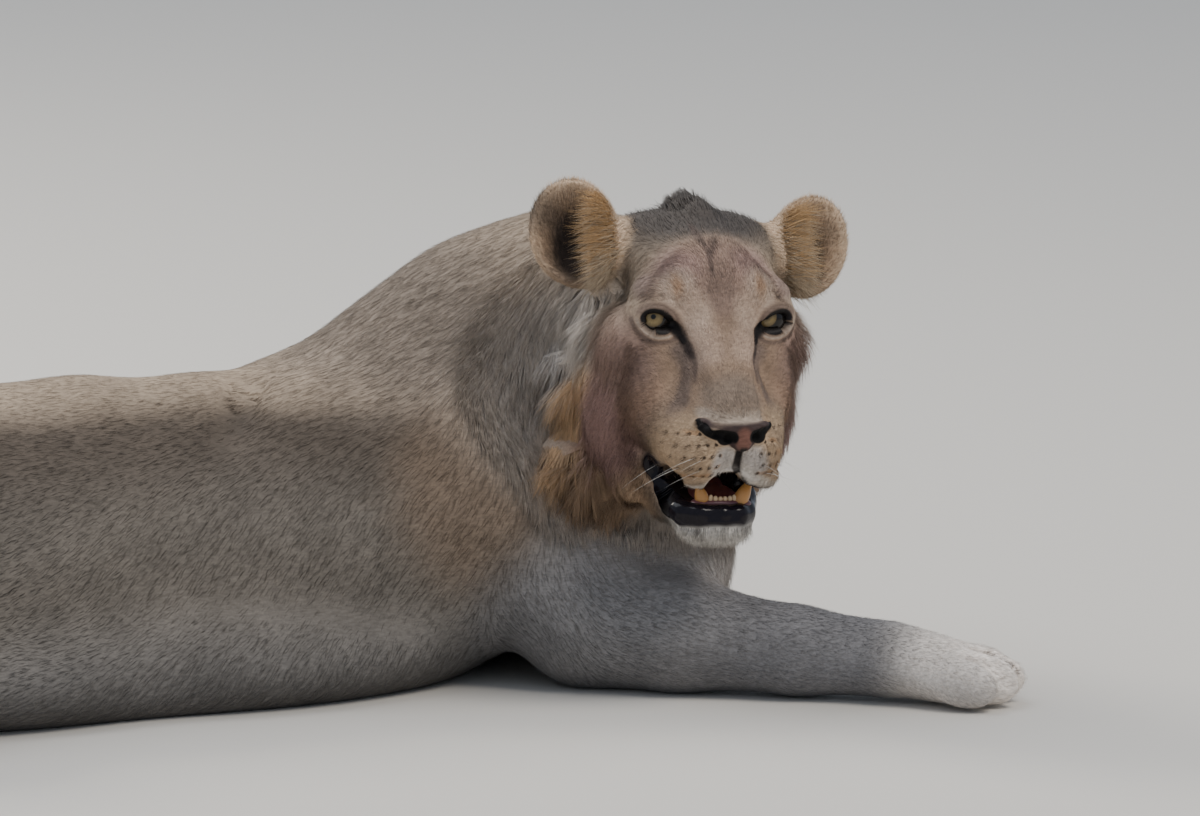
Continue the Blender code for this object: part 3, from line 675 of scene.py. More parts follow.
def refined(mesh, chosen):
    """Quarters the triangles whose middle is chosen."""
    bm = bmesh.new()
    bm.from_mesh(mesh)
    bm.faces.ensure_lookup_table()
    middles = np.array([f.calc_center_median() for f in bm.faces]) / CM
    edges = {e for i in np.flatnonzero(chosen(middles)) for e in bm.faces[i].edges}
    bmesh.ops.subdivide_edges(bm, edges=list(edges), cuts=1, use_grid_fill=True)
    bmesh.ops.triangulate(bm, faces=bm.faces[:])
    bm.to_mesh(mesh)
    bm.free()


bm = bmesh.new()
for name in FLESH:
    bm.from_mesh(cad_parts[name].data)
bmesh.ops.remove_doubles(bm, verts=bm.verts[:], dist=1e-5)
bm.normal_update()
for v in bm.verts:
    v.co += v.normal * JOINING_GROWTH
skin = linked("skin", mesh_from("skin", bm))
remesh = skin.modifiers.new("remesh", "REMESH")
remesh.mode = "VOXEL"
remesh.voxel_size = BODY_VOXEL * CM
taken(skin)
settle(skin.data, 2)
far_from_head = skin.vertex_groups.new(name="far_from_head")
at = read_points(skin.data) / CM
fine = zone(seen_from(TO_HEAD, at), (-3, 0, -4), (14, 20, 22), 0.1)
fine = np.maximum(fine, soft(6 - seen_from(TO_BODY, at)[:, 2], 0, 3) * 0.3)
for level in range(11):
    members = np.flatnonzero(np.round((1 - fine) * 10) == level)
    far_from_head.add(members.tolist(), level / 10, "REPLACE")
thin = skin.modifiers.new("thin", "DECIMATE")
thin.ratio = BODY_KEEP
thin.vertex_group = "far_from_head"
taken(skin)


def on_face(points):
    return zone(seen_from(TO_HEAD, points), (2, 0, -7), (11, 11, 16), 0.02) > 0.5


def on_features(points):
    local = mirrored(seen_from(TO_HEAD, points))
    eyes = zone(local, (1.2, 5.6, -0.4), (3, 3.6, 2.6), 0.02)
    nose = zone(local, (8.0, 0, -10.8), (3, 4.6, 4.4), 0.02)
    mouth = zone(local, (4.0, 0, -16.8), (9, 6.6, 3.0), 0.02)
    return np.maximum(np.maximum(eyes, nose), mouth) > 0.5


def on_lids(points):
    local = mirrored(seen_from(TO_HEAD, points))
    lids = zone(local, (1.2, 5.7, -0.2), (2.6, 2.6, 1.9), 0.02)
    return np.maximum(lids, zone(local, (8.6, 0.4, -10.2), (2.2, 4.2, 2.0), 0.02)) > 0.5


def on_paws(points):
    near = [zone(seen_from(np.array(p.inverted()), points), (9, 0, 3), (7, 8, 5), 0.02) for p in PAWS]
    return np.maximum.reduce(near) > 0.5


refined(skin.data, on_face)
refined(skin.data, on_features)
settle(skin.data, 6, 0.6, 0.02, on_features)
refined(skin.data, on_lids)
refined(skin.data, on_paws)
settle(skin.data, 2, 0.3)
settle(skin.data, 5, 0.5, 0.02, on_features)
skin.data.shade_smooth()
bpy.context.view_layer.objects.active = skin
skin.select_set(True)
bpy.ops.object.mode_set(mode="EDIT")
bpy.ops.mesh.select_all(action="SELECT")
bpy.ops.uv.smart_project(angle_limit=math.radians(66), island_margin=0.001)
bpy.ops.object.mode_set(mode="OBJECT")
skin.data.uv_layers[0].name = "OFBake"


# ---------------------------------------------------------------- markings and painted light
# The coat is a tawny, greyed in part by painted cool shade, most of all on the forelegs, elbows and belly.
# Painted shade darkens it high on the flank, in the neck folds, beside the bridge, between the toes, in the
# ear cups and on the upper lids. Painted sunlight makes it pale along the spine and on the forepaws, which
# are a little pale of their own, as are the hind feet. The ruff goes from pale grey to gold, with rusty
# spots over the eyes, dark tear lines, a white muzzle and chin, and black lips and ear backs.
WHISKER_ROWS, WHISKERS_IN_ROW = (-9.9, -11.0, -12.15, -13.3, -14.2), 6


STEPS_TO_SKIN = 60


def on_surface(points, inward):
    """Points carried along a direction until they meet the skin."""
    points = np.array(points, float)
    for _ in range(STEPS_TO_SKIN):
        gap = skin_depth(points)
        points += np.maximum(gap, 0)[:, None] * 0.6 * inward
    return points


whisker_roots = []
for row, z in enumerate(WHISKER_ROWS):
    for k in range(WHISKERS_IN_ROW):
        whisker_roots.append((14, 2.3 + 0.35 * (row % 2) + 0.86 * k - 0.1 * row, z - 0.04 * k))
whisker_roots = np.array(whisker_roots)
whisker_roots = np.concatenate([whisker_roots, whisker_roots * (1, -1, 1)])
in_frame = seen_from(np.array(MUZZLE), whisker_roots)
forward_row = np.array(MUZZLE)[:3, 0]
whisker_roots = on_surface(in_frame, -forward_row)


CHIN_SPECKS = np.random.default_rng(12).uniform((4, -3.2, -22.0), (6, 3.2, -19.9), (14, 3))


def coat_colour_and_painted_light(points):
    """Base colour at points, one row each, painted light and shade included."""
    head, body = seen_from(TO_HEAD, points), seen_from(TO_BODY, points)
    face, muzzle = mirrored(head), mirrored(seen_from(TO_MUZZLE, points))
    lips = lip_side(seen_from(TO_MUZZLE, points))
    # the coat's tawny, greyed in part by painted cool shade
    made = np.tile((0.172, 0.150, 0.126), (len(points), 1))

    def paint(mask, colour, strength=1.0):
        made[:] += (strength * mask)[:, None] * (np.array(colour) - made)

    # painted shade: the upper flank darker, beneath the sunlit top of the back
    paint(soft(body[:, 2], 17, 27), (0.092, 0.071, 0.054), 0.9)
    # painted sunlight: a pale band along the top of the back
    paint(soft(body[:, 2], 27.0, 30), (0.38, 0.295, 0.215), 0.9)
    # painted cool shade: the low body and belly darker and greyer
    paint(1 - soft(body[:, 2], 2, 13), (0.142, 0.134, 0.126), 0.9)
    paint(zone(body, (-70, -18, 16), (16, 12, 14)), (0.25, 0.185, 0.13), 0.8)
    for leg in (RIGHT_FORELEG, LEFT_FORELEG):
        # painted cool shade: the forelegs grey and a little blue in place of tawny
        paint(along_line(body, leg, 9), (0.200, 0.194, 0.196))
        # the forepaws a little pale of their own, and made far paler by painted sunlight
        past_wrist = (leg[-2][0] + 6, leg[-2][1] - 3.8, 3.5)
        paint(along_line(body, (past_wrist, leg[-1]), 8, None, (0.2, 1.3)), (0.90, 0.82, 0.74))
    for leg in (RIGHT_HIND_FOOT, LEFT_HIND_FOOT):
        paint(along_line(body, leg, 7), (0.25, 0.20, 0.15))
        paint(along_line(body, leg[-2:], 7, None, (0.2, 1.5)), (0.42, 0.35, 0.28))
    paint(along_line(body, TAIL, 6, None, (0.2, 1.6)), (0.19, 0.148, 0.11))
    paint(zone(body, (-60, -41, 2), (11, 5, 5)), (0.045, 0.032, 0.025))
    paint(zone(body, (18, 0, 30), (19, 17, 14)), (0.235, 0.190, 0.150))
    paint(zone(body, (14, -16, 20), (9, 6, 10)), (0.195, 0.142, 0.10), 0.8)
    paint(zone(body, (31, -9, 13), (13, 16, 15)), (0.46, 0.41, 0.37))
    # painted cool shade: the elbow grey
    paint(zone(body, (24, -26, 7), (11, 10, 8), 0.6), (0.205, 0.195, 0.190))
    # painted shade darkens the creases of the neck folds and behind the withers
    for fold in NECK_FOLDS:
        paint(along_line(body, fold, 1.6), (0.12, 0.085, 0.06), 0.6)
    paint(zone(head, (-14, 0, -6), (9, 22, 18)), (0.40, 0.33, 0.265))
    paint(zone(face, (-13, 13, -7), (6, 6, 12), 0.5), (0.46, 0.40, 0.345))
    paint(zone(face, (-11, 11.5, -2), (5.5, 5, 8), 0.6), (0.60, 0.54, 0.48), 0.9)
    paint(zone(face, (-9, 11, -12.5), (6, 5, 7)), (0.60, 0.39, 0.22))
    paint(zone(face, (-6, 8, -18), (7, 5, 5)), (0.33, 0.22, 0.14))
    paint(zone(head, (-8, 0, 8.5), (7, 8.5, 5)), (0.080, 0.068, 0.060))
    paint(zone(head, (1, 0, -5), (8.5, 8.5, 12)), (0.30, 0.207, 0.143))
    paint(zone(face, (-2.5, 8.2, -6.5), (5, 3.8, 7)), (0.26, 0.17, 0.135))
    paint(zone(face, (-5, 8.6, -11.5), (4.6, 3.4, 5)), (0.27, 0.165, 0.14))
    paint(zone(head, (-0.5, 0, 4.0), (5, 6.5, 3.6)), (0.39, 0.27, 0.21))
    paint(zone(face, (0.2, 4.0, 5.4), (2.6, 2.4, 1.6), 0.5), (0.30, 0.20, 0.175), 0.7)
    paint(zone(head, (1.6, 0, 2.4), (2.4, 1.7, 3.0), 0.5), (0.23, 0.16, 0.125), 0.8)
    paint(zone(face, (0.0, 7.4, 3.6), (2.2, 1.2, 1.6), 0.5), (0.17, 0.115, 0.12), 0.45)
    long_streak = [(-4.5, -1.8, 9.6), (-1.6, -1.3, 7.6), (-0.2, -0.7, 6.6), (1.2, -0.8, 4.6)]
    for streak in (long_streak, [(-1.2, 0.2, 7.4), (0.4, -0.6, 6.0)]):
        paint(along_line(head, streak, 0.5, 0.25), (0.10, 0.07, 0.06), 0.7)
    paint(zone(face, (1.2, 4.3, 3.2), (2.0, 1.7, 1.9), 0.5), (0.54, 0.42, 0.33), 0.8)
    paint(zone(face, (1.2, 4.25, 3.35), (1.6, 0.55, 1.05), 0.8), (0.34, 0.20, 0.11), 0.75)
    paint(zone(face, (1.9, 2.6, 0.6), (2.4, 1.5, 2.2), 0.5), (0.46, 0.34, 0.26))
    paint(zone(face, (2.4, 1.6, -3.0), (3, 2.0, 2.6), 0.5), (0.54, 0.395, 0.31), 0.8)
    paint(zone(head, (6.5, 0, -7.0), (3.2, 3.0, 2.6)), (0.255, 0.195, 0.15), 0.9)
    # painted shade in the crease between the bridge and the cheek
    shade_beside_nose = [(2.6, 4.4, -2.6), (3.8, 4.2, -4.8), (4.8, 4.6, -7.4), (4.2, 5.2, -9.6)]
    paint(along_line(face, shade_beside_nose, 1.3, 1.0), (0.15, 0.112, 0.095), 0.75)
    paint(zone(face, (-0.2, 6.4, -8.2), (3, 2.0, 2.6), 0.5), (0.31, 0.19, 0.125), 0.8)
    below_tear = [(3.0, 3.4, -2.4), (4.2, 3.3, -4.0), (5.0, 3.4, -5.4)]
    paint(along_line(face, below_tear, 0.7, 0.4), (0.085, 0.060, 0.052), 0.8)
    paint(zone(muzzle, (5.2, 3.6, -12.2), (5, 4.4, 4)), (0.42, 0.30, 0.195))
    paint(zone(muzzle, (8.0, 1.3, -13.3), (2.6, 1.6, 2.0)), (0.50, 0.45, 0.41), 0.9)
    lip_edge = [(x + 0.4, y, z + 0.1) for x, y, z in UPPER_LIP[:5]]
    paint(along_line(lips, lip_edge, 1.1, 0.7), (0.60, 0.54, 0.47), 0.8)
    for z in WHISKER_ROWS:
        row = along_line(muzzle, [(8, 2, z), (7.5, 4.5, z), (4, 6.5, z - 0.2)], 0.3)
        paint(row * (face[:, 0] > 2), (0.40, 0.21, 0.09), 0.5)
    near = np.flatnonzero(np.linalg.norm(head - (5, 0, -12), axis=1) < 9)
    for dot in whisker_roots:
        spot = np.zeros(len(points))
        spot[near] = zone(points[near], dot, (0.2, 0.2, 0.2), 0.4)
        paint(spot, (0.03, 0.018, 0.012), 0.95)
    paint(zone(face, (4.0, 0, -20.6), (4.6, 5.0, 3.0)), (0.66, 0.62, 0.57))
    low = np.flatnonzero(np.linalg.norm(head - (5, 0, -20.5), axis=1) < 6)
    for speck in CHIN_SPECKS:
        spot = np.zeros(len(points))
        spot[low] = zone(head[low], speck, (2.5, 0.22, 0.22), 0.5)
        paint(spot, (0.12, 0.10, 0.085), 0.6)
    # painted shade darkens the gaps between the toes
    for place in PAWS:
        local = seen_from(np.array(place.inverted()), points)
        for toe_gap in TOE_GAPS:
            paint(along_line(local, toe_gap, 0.8), (0.20, 0.15, 0.12), 0.8)
    for place in EAR_PLACES:
        front = zone(head, place, (7.0, 6.2, 6.6), 0.1)
        inner = place + (0, -0.7 * np.sign(place[1]), -1.0)
        paint(front, (0.62, 0.46, 0.32))
        # painted shade: the ear's cup darker brown and its opening black
        paint(zone(head, inner, (4.6, 3.4, 4.6), 0.45), (0.20, 0.125, 0.075), 0.9)
        paint(zone(head, inner - (0, 0, 0.8), (3.8, 1.9, 3.6), 0.35), (0.030, 0.020, 0.015))
        paint(front * soft(-(head[:, 0] - place[0]), 1.2, 2.2), (0.06, 0.048, 0.04))
    gap, up = lid_gap(face)
    below, above = soft(-up, 0.3, 0.8), soft(up, -0.4, 0.3)
    paint(soft(gap, 0.75, 0.95) * (1 - soft(gap, 1.1, 1.4)) * below, (0.10, 0.07, 0.06), 0.7)
    paint(soft(gap, 0.3, 0.5) * (1 - soft(gap, 0.6, 0.8)) * below, (0.38, 0.30, 0.24), 0.8)
    # painted shade on the upper lid under the brow
    paint((1 - soft(gap, 0.5, 1.1)) * above, (0.15, 0.105, 0.085), 0.75)
    paint(1 - soft(gap + 0.1 * above, 0.20, 0.36), (0.008, 0.006, 0.006))
    paint(along_line(face, TEAR_LINE[1:], 0.8, 0.5), (0.05, 0.036, 0.032), 0.85)
    paint(along_line(face, TEAR_LINE[:3], 0.85, 0.40), (0.010, 0.008, 0.008))
    paint(along_line(muzzle, [(x - 0.5, y, z + 0.8) for x, y, z in NOSE_TOP], 0.8), (0.44, 0.36, 0.29), 0.8)
    paint(along_line(muzzle, NOSE_TOP, 0.75, 0.55), (0.055, 0.036, 0.033))
    paint(zone(muzzle, (9.2, 0, -10.5), (1.6, 1.5, 1.4), 0.1), (0.05, 0.03, 0.027))
    paint(zone(muzzle, (9.5, 0, -10.5), (1.4, 0.85, 1.15), 0.3), (0.17, 0.078, 0.057))
    paint(along_line(muzzle, SLIT, 0.75, 0.55, (0.85, 1.1)), (0.004, 0.003, 0.003))
    paint(zone(muzzle, (9.0, 1.75, -10.35), (1.8, 0.85, 0.75), 0.1), (0.004, 0.003, 0.003))
    paint(parting(muzzle, 0.48), (0.015, 0.011, 0.010))
    paint(along_line(lips, [(x, y, z - 0.62) for x, y, z in UPPER_LIP], 0.34), (0.05, 0.045, 0.045), 0.8)
    paint(in_mouth(points), (0.014, 0.009, 0.010))
    paint(along_line(mouth_side(head), LOWER_LIP, LOWER_LIP_WIDTH, None, (0.9, 1.15)), (0.008, 0.006, 0.009))
    return made


def wetness(points):
    face, muzzle = (mirrored(seen_from(m, points)) for m in (TO_HEAD, TO_MUZZLE))
    wet = 0.6 * zone(muzzle, (9.4, 0, -10.4), (1.4, 1.2, 1.4), 0.2)
    wet = np.maximum(wet, 0.35 * along_line(muzzle, NOSE_TOP, 0.75, 0.55))
    wet = wet * (1 - along_line(muzzle, SLIT, 0.9, 0.5))
    mouth = mouth_side(seen_from(TO_HEAD, points))
    wet = np.maximum(wet, along_line(mouth, LOWER_LIP, LOWER_LIP_WIDTH, None, (0.85, 1.1)))
    wet = np.maximum(wet, in_mouth(points))
    return np.maximum(wet, 0.4 - 0.4 * soft(lid_gap(face)[0], 0.2, 0.4))


def store(mesh, name, values):
    """An attribute on the vertices: one value each, or a colour each."""
    if values.ndim == 1:
        mesh.attributes.new(name, "FLOAT", "POINT").data.foreach_set("value", values.astype(np.float32))
        return
    rows = np.ones((len(values), 4), np.float32)
    rows[:, :3] = values
    mesh.attributes.new(name, "FLOAT_COLOR", "POINT").data.foreach_set("color", rows.ravel())


skin_at = read_points(skin.data) / CM
store(skin.data, "markings_and_painted_light", coat_colour_and_painted_light(skin_at))
store(skin.data, "wet", wetness(skin_at))

def ranged(nodes, low, high):
    """A node that carries 0 to 1 over to low to high."""
    node = nodes.new("ShaderNodeMapRange")
    node.inputs["To Min"].default_value = low
    node.inputs["To Max"].default_value = high
    return node


# Shared by skin and hair: soft blotches of lighter and darker hair, and a fine grain of single hairs.
shading = bpy.data.node_groups.new("coat_variation", "ShaderNodeTree")
for word, kind in (
    ("Markings And Painted Light", "Color"),
    ("Blotch Size", "Float"),
    ("Grain Size", "Float"),
    ("Amount", "Float"),
    ("Stretch", "Vector"),
):
    shading.interface.new_socket(name=word, in_out="INPUT", socket_type="NodeSocket" + kind)
shading.interface.new_socket(name="Colour", in_out="OUTPUT", socket_type="NodeSocketColor")
group_in = shading.nodes.new("NodeGroupInput")
group_out = shading.nodes.new("NodeGroupOutput")
where = shading.nodes.new("ShaderNodeTexCoord")
coming = group_in.outputs["Markings And Painted Light"]
for word, low, high in (("Blotch Size", 0.74, 1.22), ("Grain Size", 0.62, 1.36)):
    noise = shading.nodes.new("ShaderNodeTexNoise")
    noise.inputs["Detail"].default_value = 3.0
    noise.inputs["Roughness"].default_value = 0.6
    bright = ranged(shading.nodes, low, high)
    bright.inputs["From Min"].default_value = 0.3
    bright.inputs["From Max"].default_value = 0.7
    scaled = shading.nodes.new("ShaderNodeVectorMath")
    scaled.operation = "SCALE"
    mixed = shading.nodes.new("ShaderNodeMix")
    mixed.data_type = "RGBA"
    if word == "Grain Size":
        stretched = shading.nodes.new("ShaderNodeVectorMath")
        stretched.operation = "MULTIPLY"
        shading.links.new(where.outputs["Object"], stretched.inputs[0])
        shading.links.new(group_in.outputs["Stretch"], stretched.inputs[1])
        shading.links.new(stretched.outputs["Vector"], noise.inputs["Vector"])
    else:
        shading.links.new(where.outputs["Object"], noise.inputs["Vector"])
    shading.links.new(group_in.outputs[word], noise.inputs["Scale"])
    shading.links.new(noise.outputs["Fac"], bright.inputs["Value"])
    shading.links.new(coming, scaled.inputs[0])
    shading.links.new(bright.outputs["Result"], scaled.inputs["Scale"])
    shading.links.new(group_in.outputs["Amount"], mixed.inputs["Factor"])
    shading.links.new(coming, mixed.inputs["A"])
    shading.links.new(scaled.outputs["Vector"], mixed.inputs["B"])
    coming = mixed.outputs["Result"]
shading.links.new(coming, group_out.inputs["Colour"])


def coat_material(name, rough, blotch, grain, amount, stretch):
    """A material whose colour is the markings and painted light, with the shared variation."""
    material, surface = new_paint(name, rough)
    nodes, links = material.node_tree.nodes, material.node_tree.links
    surface.inputs["Specular IOR Level"].default_value = 0.2
    marks_and_light = nodes.new("ShaderNodeAttribute")
    marks_and_light.attribute_name = "markings_and_painted_light"
    varied = nodes.new("ShaderNodeGroup")
    varied.node_tree = shading
    settings = (("Blotch Size", blotch), ("Grain Size", grain), ("Amount", amount), ("Stretch", stretch))
    for word, value in settings:
        varied.inputs[word].default_value = value
    links.new(marks_and_light.outputs["Color"], varied.inputs["Markings And Painted Light"])
    links.new(varied.outputs["Colour"], surface.inputs["Base Color"])
    return material, surface, varied


skin_paint, skin_surface, _ = coat_material("skin_paint", 0.75, 22, 420, 0.6, (0.3, 1, 1))
skin_nodes, skin_links = skin_paint.node_tree.nodes, skin_paint.node_tree.links
wet = skin_nodes.new("ShaderNodeAttribute")
wet.attribute_name = "wet"
gloss = ranged(skin_nodes, 0.80, 0.12)
skin_links.new(wet.outputs["Fac"], gloss.inputs["Value"])
skin_links.new(gloss.outputs["Result"], skin_surface.inputs["Roughness"])
pores = skin_nodes.new("ShaderNodeTexNoise")
pores.inputs["Scale"].default_value = 420.0
pores.inputs["Detail"].default_value = 3.0
bump = skin_nodes.new("ShaderNodeBump")
bump.inputs["Strength"].default_value = 0.6
bump.inputs["Distance"].default_value = 0.0008
skin_where = skin_nodes.new("ShaderNodeTexCoord")
skin_links.new(skin_where.outputs["Object"], pores.inputs["Vector"])
dry = ranged(skin_nodes, 1.0, 0.25)
height = skin_nodes.new("ShaderNodeMath")
height.operation = "MULTIPLY"
skin_links.new(wet.outputs["Fac"], dry.inputs["Value"])
skin_links.new(pores.outputs["Fac"], height.inputs[0])
skin_links.new(dry.outputs["Result"], height.inputs[1])
skin_links.new(height.outputs["Value"], bump.inputs["Height"])
skin_links.new(bump.outputs["Normal"], skin_surface.inputs["Normal"])
skin.data.materials.append(skin_paint)
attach(skin, "root")
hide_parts(*FLESH)


# ---------------------------------------------------------------- hair
# Short hair is thin closed spikes and long hair is curved locks. Each grows from the skin, leans along
# the lie of the coat and carries the markings and painted light of its root, a little darker at the root.
rng = np.random.default_rng(7)
triangles = read(skin.data.polygons, "vertices", 3, int)
skin_normals = read(skin.data.vertices, "normal", 3)
corner_uv = read(skin.data.uv_layers["OFBake"].data, "uv", 2).reshape(-1, 3, 2)
a, b, c = (skin_at[triangles[:, i]] for i in range(3))
areas = np.linalg.norm(np.cross(b - a, c - a), axis=1) / 2
centres = (a + b + c) / 3


def unit(rows):
    return rows / np.maximum(np.linalg.norm(rows, axis=1), 1e-9)[:, None]


def lie(points, normals):
    """Which way the hair lies: back along the body, down the neck and legs, away from the nose."""
    head, body = seen_from(TO_HEAD, points), seen_from(TO_BODY, points)
    way = np.tile((-1.0, 0.0, -0.3), (len(points), 1))

    def comb(mask, direction):
        way[:] += mask[:, None] * (direction - way)

    comb(soft(body[:, 0], -45, -5) * (1 - soft(body[:, 2], 18, 30)), np.array((-0.6, 0, -0.75)))
    comb(zone(body, (22, 0, 26), (19, 19, 17)), np.array((-0.25, 0, -0.95)))
    comb(soft(body[:, 2], 26, 34) * soft(body[:, 0], -5, 10), np.array((-0.9, 0, -0.5)))
    for leg in (RIGHT_FORELEG, LEFT_FORELEG, RIGHT_HIND_FOOT, LEFT_HIND_FOOT, TAIL):
        for start, end in zip(leg, leg[1:]):
            along = np.array(end, float) - np.array(start, float)
            comb(along_line(body, [start, end], 8, None, (0.4, 1.4)), along / np.linalg.norm(along))
    turn = np.array(HEAD)[:3, :3]
    face_side = np.sign(head[:, 1])[:, None]
    away = unit(head - np.array((11.0, 0, -10.5)))
    ruff = unit(np.array((-0.15, 0, -1.0)) + face_side * np.array((0, 0.04, 0)))
    cheek = unit(np.array((-0.35, 0, -0.9)) + face_side * np.array((0, 0.15, 0)))
    comb(zone(body, (36, -8, 14), (13, 17, 19)), np.array((-0.2, 0.05, -1.0)))
    comb(zone(head, (-12, 0, -6), (13, 20, 18)), ruff @ turn.T)
    comb(zone(head, (2.5, 0, -4), (8.5, 7.5, 12)), away @ turn.T)
    comb(zone(mirrored(head), (-4, 9, -8), (5, 5, 10)), cheek @ turn.T)
    comb(zone(head, (-7, 0, 9), (7, 8, 4)), np.array((-0.95, 0, 0.25)) @ turn.T)
    comb(zone(head, (4, 0, -21), (5, 5, 3.4)), np.array((-0.35, 0, -0.95)) @ turn.T)
    for place in EAR_PLACES:
        comb(zone(head, place, (7.0, 6.2, 6.6), 0.15), unit(head - place + (0, 0, 5.0)) @ turn.T)
    way -= (way * normals).sum(axis=1)[:, None] * normals
    return unit(way)


def roots(density, where):
    """Places for hairs: so many per square centimetre of skin wherever the mask holds."""
    total = np.concatenate([[0], np.cumsum(areas * density * where)])
    picks = np.arange(0.5, total[-1]) + rng.uniform(-0.45, 0.45, int(total[-1] + 0.5))
    face_of = np.clip(np.searchsorted(total, picks) - 1, 0, len(areas) - 1)
    u, v = rng.random((2, len(face_of)))
    u, v = np.where(u + v > 1, 1 - u, u), np.where(u + v > 1, 1 - v, v)
    share = np.stack([1 - u - v, u, v], axis=1)
    corners = triangles[face_of]
    place = (skin_at[corners] * share[:, :, None]).sum(axis=1)
    normal = unit((skin_normals[corners] * share[:, :, None]).sum(axis=1))
    uv = (corner_uv[face_of] * share[:, :, None]).sum(axis=1)
    return place, normal, uv


def hair_material(name, blotch, grain, amount, stretch):
    """The coat's colour and painted light, a little lighter or darker from hair to hair and from root to
    tip.
    """
    material, surface, varied = coat_material(name, 0.6, blotch, grain, amount, stretch)
    nodes, links = material.node_tree.nodes, material.node_tree.links
    strand = nodes.new("ShaderNodeAttribute")
    strand.attribute_name = "strand"
    tone = ranged(nodes, 0.70, 1.30)
    toned = nodes.new("ShaderNodeVectorMath")
    toned.operation = "SCALE"
    links.new(strand.outputs["Fac"], tone.inputs["Value"])
    links.new(varied.outputs["Colour"], toned.inputs[0])
    links.new(tone.outputs["Result"], toned.inputs["Scale"])
    links.new(toned.outputs["Vector"], surface.inputs["Base Color"])
    return material


body_hair = hair_material("body_hair", 22, 420, 0.45, (0.3, 1, 1))
face_hair = hair_material("face_hair", 75, 260, 0.9, (1, 1, 1))
long_hair = hair_material("long_hair", 40, 300, 0.5, (1, 1, 0.2))


PATCH_RADIUS = 0.0015
HAIR_OVER_FLOOR = 0.06
ROOT_DEPTH = 0.04


def hair_mesh(name, paint, rings, colours, strands, uv, contrast):
    """One piece of many closed hairs. rings holds each hair's points: three to a ring, one for the tip."""
    number, per = rings.shape[:2]
    segments = (per - 1) // 3
    faces = [(0, 2, 1)]
    for p in range(0, 3 * segments - 3, 3):
        for j, k in ((0, 1), (1, 2), (2, 0)):
            faces += [(p + j, p + k, p + k + 3), (p + j, p + k + 3, p + j + 3)]
    last = 3 * (segments - 1)
    faces += [(last, last + 1, per - 1), (last + 1, last + 2, per - 1), (last + 2, last, per - 1)]
    faces = np.array(faces)
    rings = rings.copy()
    rings[:, :, 2] = np.maximum(rings[:, :, 2], HAIR_OVER_FLOOR)
    index = (np.arange(number) * per)[:, None, None] + faces[None]
    mesh = bpy.data.meshes.new(name)
    mesh.vertices.add(number * per)
    mesh.loops.add(index.size)
    mesh.polygons.add(index.size // 3)
    mesh.vertices.foreach_set("co", (rings * CM).ravel())
    mesh.loops.foreach_set("vertex_index", index.ravel())
    mesh.polygons.foreach_set("loop_start", np.arange(0, index.size, 3))
    mesh.update()
    height = np.array([i // 3 / segments for i in range(per)])
    store(mesh, "markings_and_painted_light", np.repeat(colours, per, axis=0))
    store(mesh, "strand", (0.5 + contrast * (0.55 * strands[:, None] + 0.45 * height - 0.5)).ravel())
    turns = np.radians([210, 330, 90])
    patch = np.array([(math.cos(turns[i % 3]), math.sin(turns[i % 3])) for i in range(per)])
    patch *= PATCH_RADIUS * (1 - height)[:, None]
    patched = uv[:, None, None] + patch[faces][None]
    patched[:, 0] = uv[:, None]
    mesh.uv_layers.new(name="OFBake").data.foreach_set("uv", patched.ravel())
    mesh.shade_smooth()
    mesh.materials.append(paint)
    obj = linked(name, mesh)
    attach(obj, "root")


def grow(name, slot, paint, density, where, width, contrast, segments=1, lock=0.0, gather=0.0, curl=0.0):
    """One piece of coat: hairs of the coat's own length and lift, gathered into locks of so many cm."""
    place, normal, uv = roots(density, where)
    number = len(place)
    measures = coat(place)
    way = lie(place, normal)
    across = np.cross(normal, way)
    sway, rise, tint = rng.normal(0, 0.13, number), rng.uniform(0.6, 1.4, number), rng.random(number)
    pull = np.zeros((number, 3))
    if lock:
        cells = np.floor(place / lock + 0.35 * np.sin(place[:, [1, 2, 0]] * 1.7 / lock)).astype(int)
        _, member = np.unique(cells, axis=0, return_inverse=True)
        member = member.ravel()
        size = np.bincount(member)
        middles = np.stack([np.bincount(member, place[:, i]) / size for i in range(3)], axis=1)
        pull = gather * (middles[member] - place)
        sway = 0.5 * sway + rng.normal(0, 0.16, len(size))[member]
        rise = 0.4 * rise + 0.6 * rng.uniform(0.5, 1.5, len(size))[member]
        tint = 0.5 * tint + 0.5 * rng.random(len(size))[member]
    way = unit(way + sway[:, None] * across)
    across = np.cross(normal, way)
    length = (measures[:, 0] * rng.uniform(0.75, 1.2, number))[:, None]
    lift = (np.radians(measures[:, 2]) * rise)[:, None]
    half = (0.5 * width * rng.uniform(0.75, 1.25, number))[:, None]
    bend = rng.normal(0, curl, number)[:, None] if curl else 0.0
    spot = place - ROOT_DEPTH * normal
    rings = []
    for i in range(segments + 1):
        t = i / segments
        if i:
            now = lift * (1.4 - 1.2 * t) if segments > 1 else lift
            onward = way * np.cos(now) + normal * np.sin(now) + across * bend * (t - 0.3)
            spot = spot + length / segments * onward
            spot = spot + pull * (1 / segments)
            if segments > 1:
                short = np.maximum(0.15 + 0.25 * t - skin_depth(spot), 0)[:, None]
                spot = spot + normal * short
        size = half * (1 - t) ** 0.6
        if i < segments:
            rings += [spot - across * size, spot + across * size, spot + normal * size * 0.45]
        else:
            rings.append(spot)
    hair_mesh(name, paint, np.stack(rings, axis=1), coat_colour_and_painted_light(place), tint, uv, contrast)


